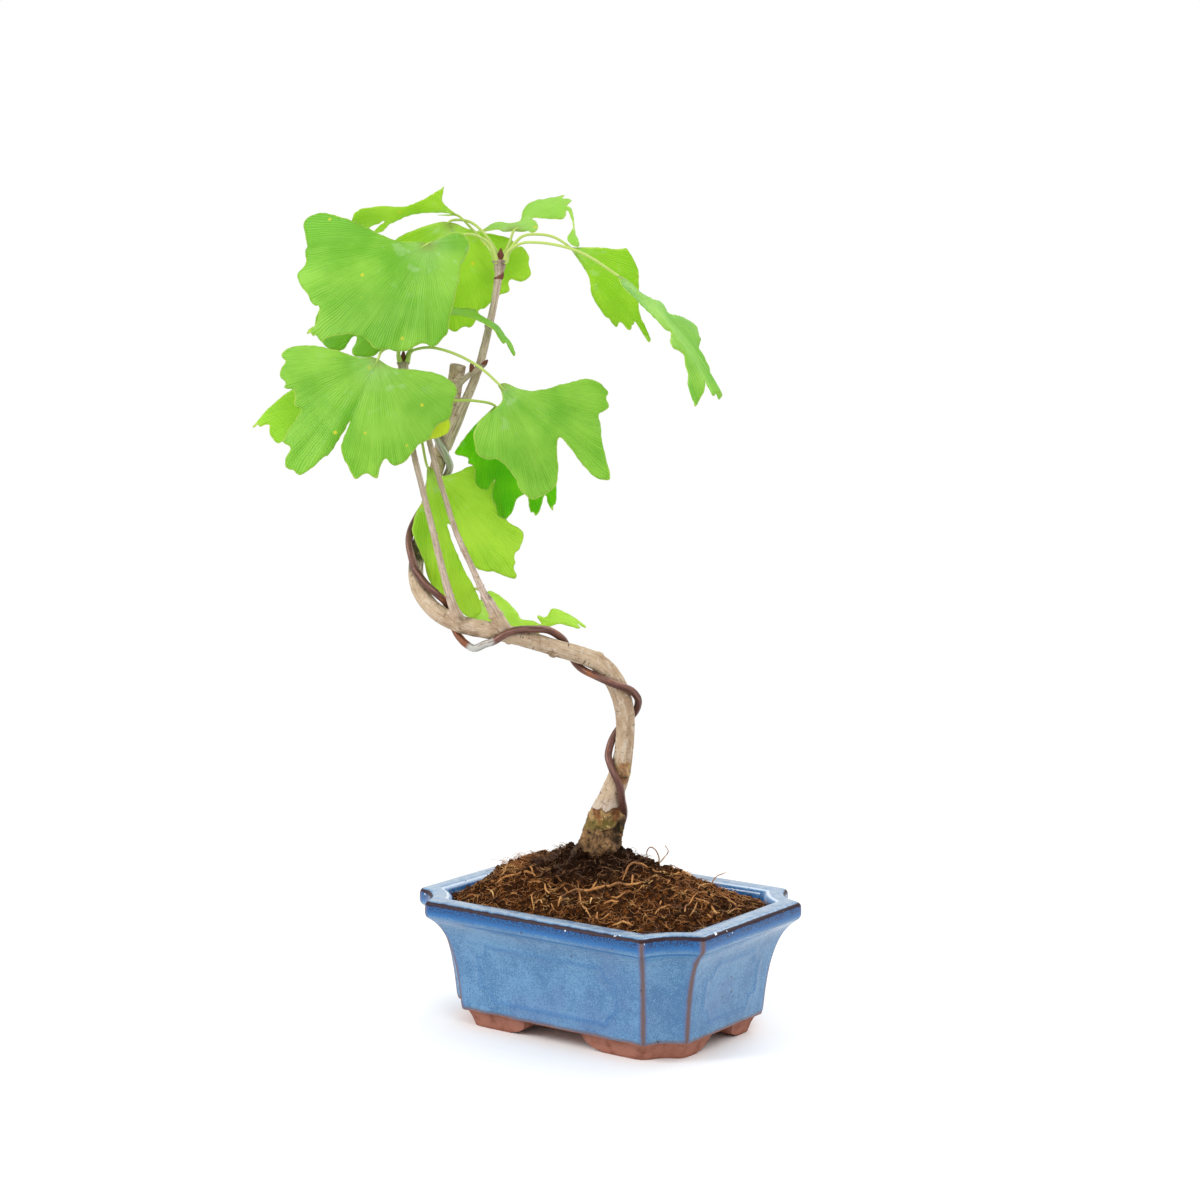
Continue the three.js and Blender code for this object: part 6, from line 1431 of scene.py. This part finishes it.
def petioleLine(leaf):
    radius, start = leafForm["petiole"], leafForm["lowStart"]
    if leaf["spur"] != "low":
        x, y, z, ring = spurs[leaf["spur"]]
        turn = math.radians(leaf["bearing"])
        start = [[x + math.cos(turn) * (ring + out), y + math.sin(turn) * (ring + out), z + up, thick]
                 for out, up, thick in leafForm["start"]]
    heart = unit(np.mean(leaf["outline"], axis=0))
    rows = start + [[*p, radius] for p in leaf["via"]] + [[*leaf["apex"], radius * 0.92]]
    rows += [[*bladeSurface(leaf, *(heart * far)), thick] for far, thick in ((4.0, radius * 0.62), (9.0, 0.12))]
    return strandToScene(smoothLine(rows, 9))


def makeLeaves():
    skins = {kind: makeLeafSkin(kind, {**leafLook, **leafLook[kind]}) for kind in ("green", "deep", "bright")}
    for seed, (name, leaf) in enumerate(leaves.items()):
        skin = skins[leaf["look"]]
        blade = makeBlade(name + "_blade", leaf, seed)
        stalk = sweep(name + "_stalk", [petioleLine(leaf)], skin, sides=10, spacing=0.9, relief=0.06, grain=500)
        along = np.zeros(len(stalk.data.vertices))
        stalk.data.attributes["along"].data.foreach_get("value", along)
        green = np.clip((along - along.max() + 9 * mm) / (5 * mm), 0, 0.85)  # greens into the blade
        for label, values in dict(degrees=0, blade=green, reach=20, rimGap=20, tone=leaf["tone"]).items():
            storeValues(stalk, label, values)
        whole = joinPieces(name + "_fine", [blade, stalk])
        finishPiece(whole, skin, "leaf_" + leaf.get("slot", leaf["look"]), name)


makeLeaves()
print("leaves made")


# Drain meshes keep their solids

meshLook = {"colour": (0.02, 0.022, 0.02), "faded": (0.06, 0.062, 0.055)}


def makeMeshPlastic(look):
    material, surface, place = startMaterial("meshPlastic")
    feed(surface, {"Base Color": coats(look, "colour", (place.noise(300, 4).ease(0.35, 0.7), "faded")),
                   "Roughness": 0.6, "Normal": place.noise(900, 3).bump(0.2, 0.0003)})
    return material


meshPlastic = makeMeshPlastic(meshLook)
for nodeName in ("drain_mesh_left", "drain_mesh_right"):
    paint(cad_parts[nodeName], meshPlastic)


# Floor, light and world

studio = {
    "world": 1.0, "floorHalf": 20, "floor": (0.88, 0.88, 0.88, 1), "white": (1, 1, 1, 1),
    "whiteFrom": 0.13, "whiteTo": 0.42,  # distance from the pot over which the floor turns white
    "lamps": [  # place in pot millimetres, size, watts, aim height
        [[-620, -900, 800], 420, 7, 120], [[800, -650, 900], 500, 4, 100], [[150, 800, 1000], 700, 6, 200]],
}


def makeStudio(form):
    scene = bpy.context.scene
    scene.view_settings.view_transform = "Standard"
    scene.world = bpy.data.worlds.new("studio")
    scene.world.use_nodes = True
    feed(scene.world.node_tree.nodes["Background"], {"Color": form["white"], "Strength": form["world"]})
    corners = np.array([(-1, -1, 0), (1, -1, 0), (1, 1, 0), (-1, 1, 0)]) * form["floorHalf"]
    floor = meshObject("floor", corners, [(0, 1, 2, 3)])
    material, surface, place = startMaterial("paleFloor")
    feed(surface, {"Base Color": form["floor"], "Roughness": 0.9, "Specular IOR Level": 0.1})
    away = place.gapTo((potMiddle.x, potMiddle.y, 0.0)).ease(form["whiteFrom"], form["whiteTo"])
    mixShader(material, away, place.add("ShaderNodeEmission", {"Color": form["white"], "Strength": 1.0}))
    paint(floor, material)
    for spot, size, watts, aimHeight in form["lamps"]:
        data = bpy.data.lights.new("softbox", "AREA")
        data.energy, data.size = watts, size * mm
        lamp = newObject("softbox", data)
        lamp.location = potToScene(spot)
        aim = Vector(potToScene([0, 0, aimHeight])) - lamp.location
        lamp.rotation_euler = aim.to_track_quat("-Z", "Y").to_euler()


makeStudio(studio)
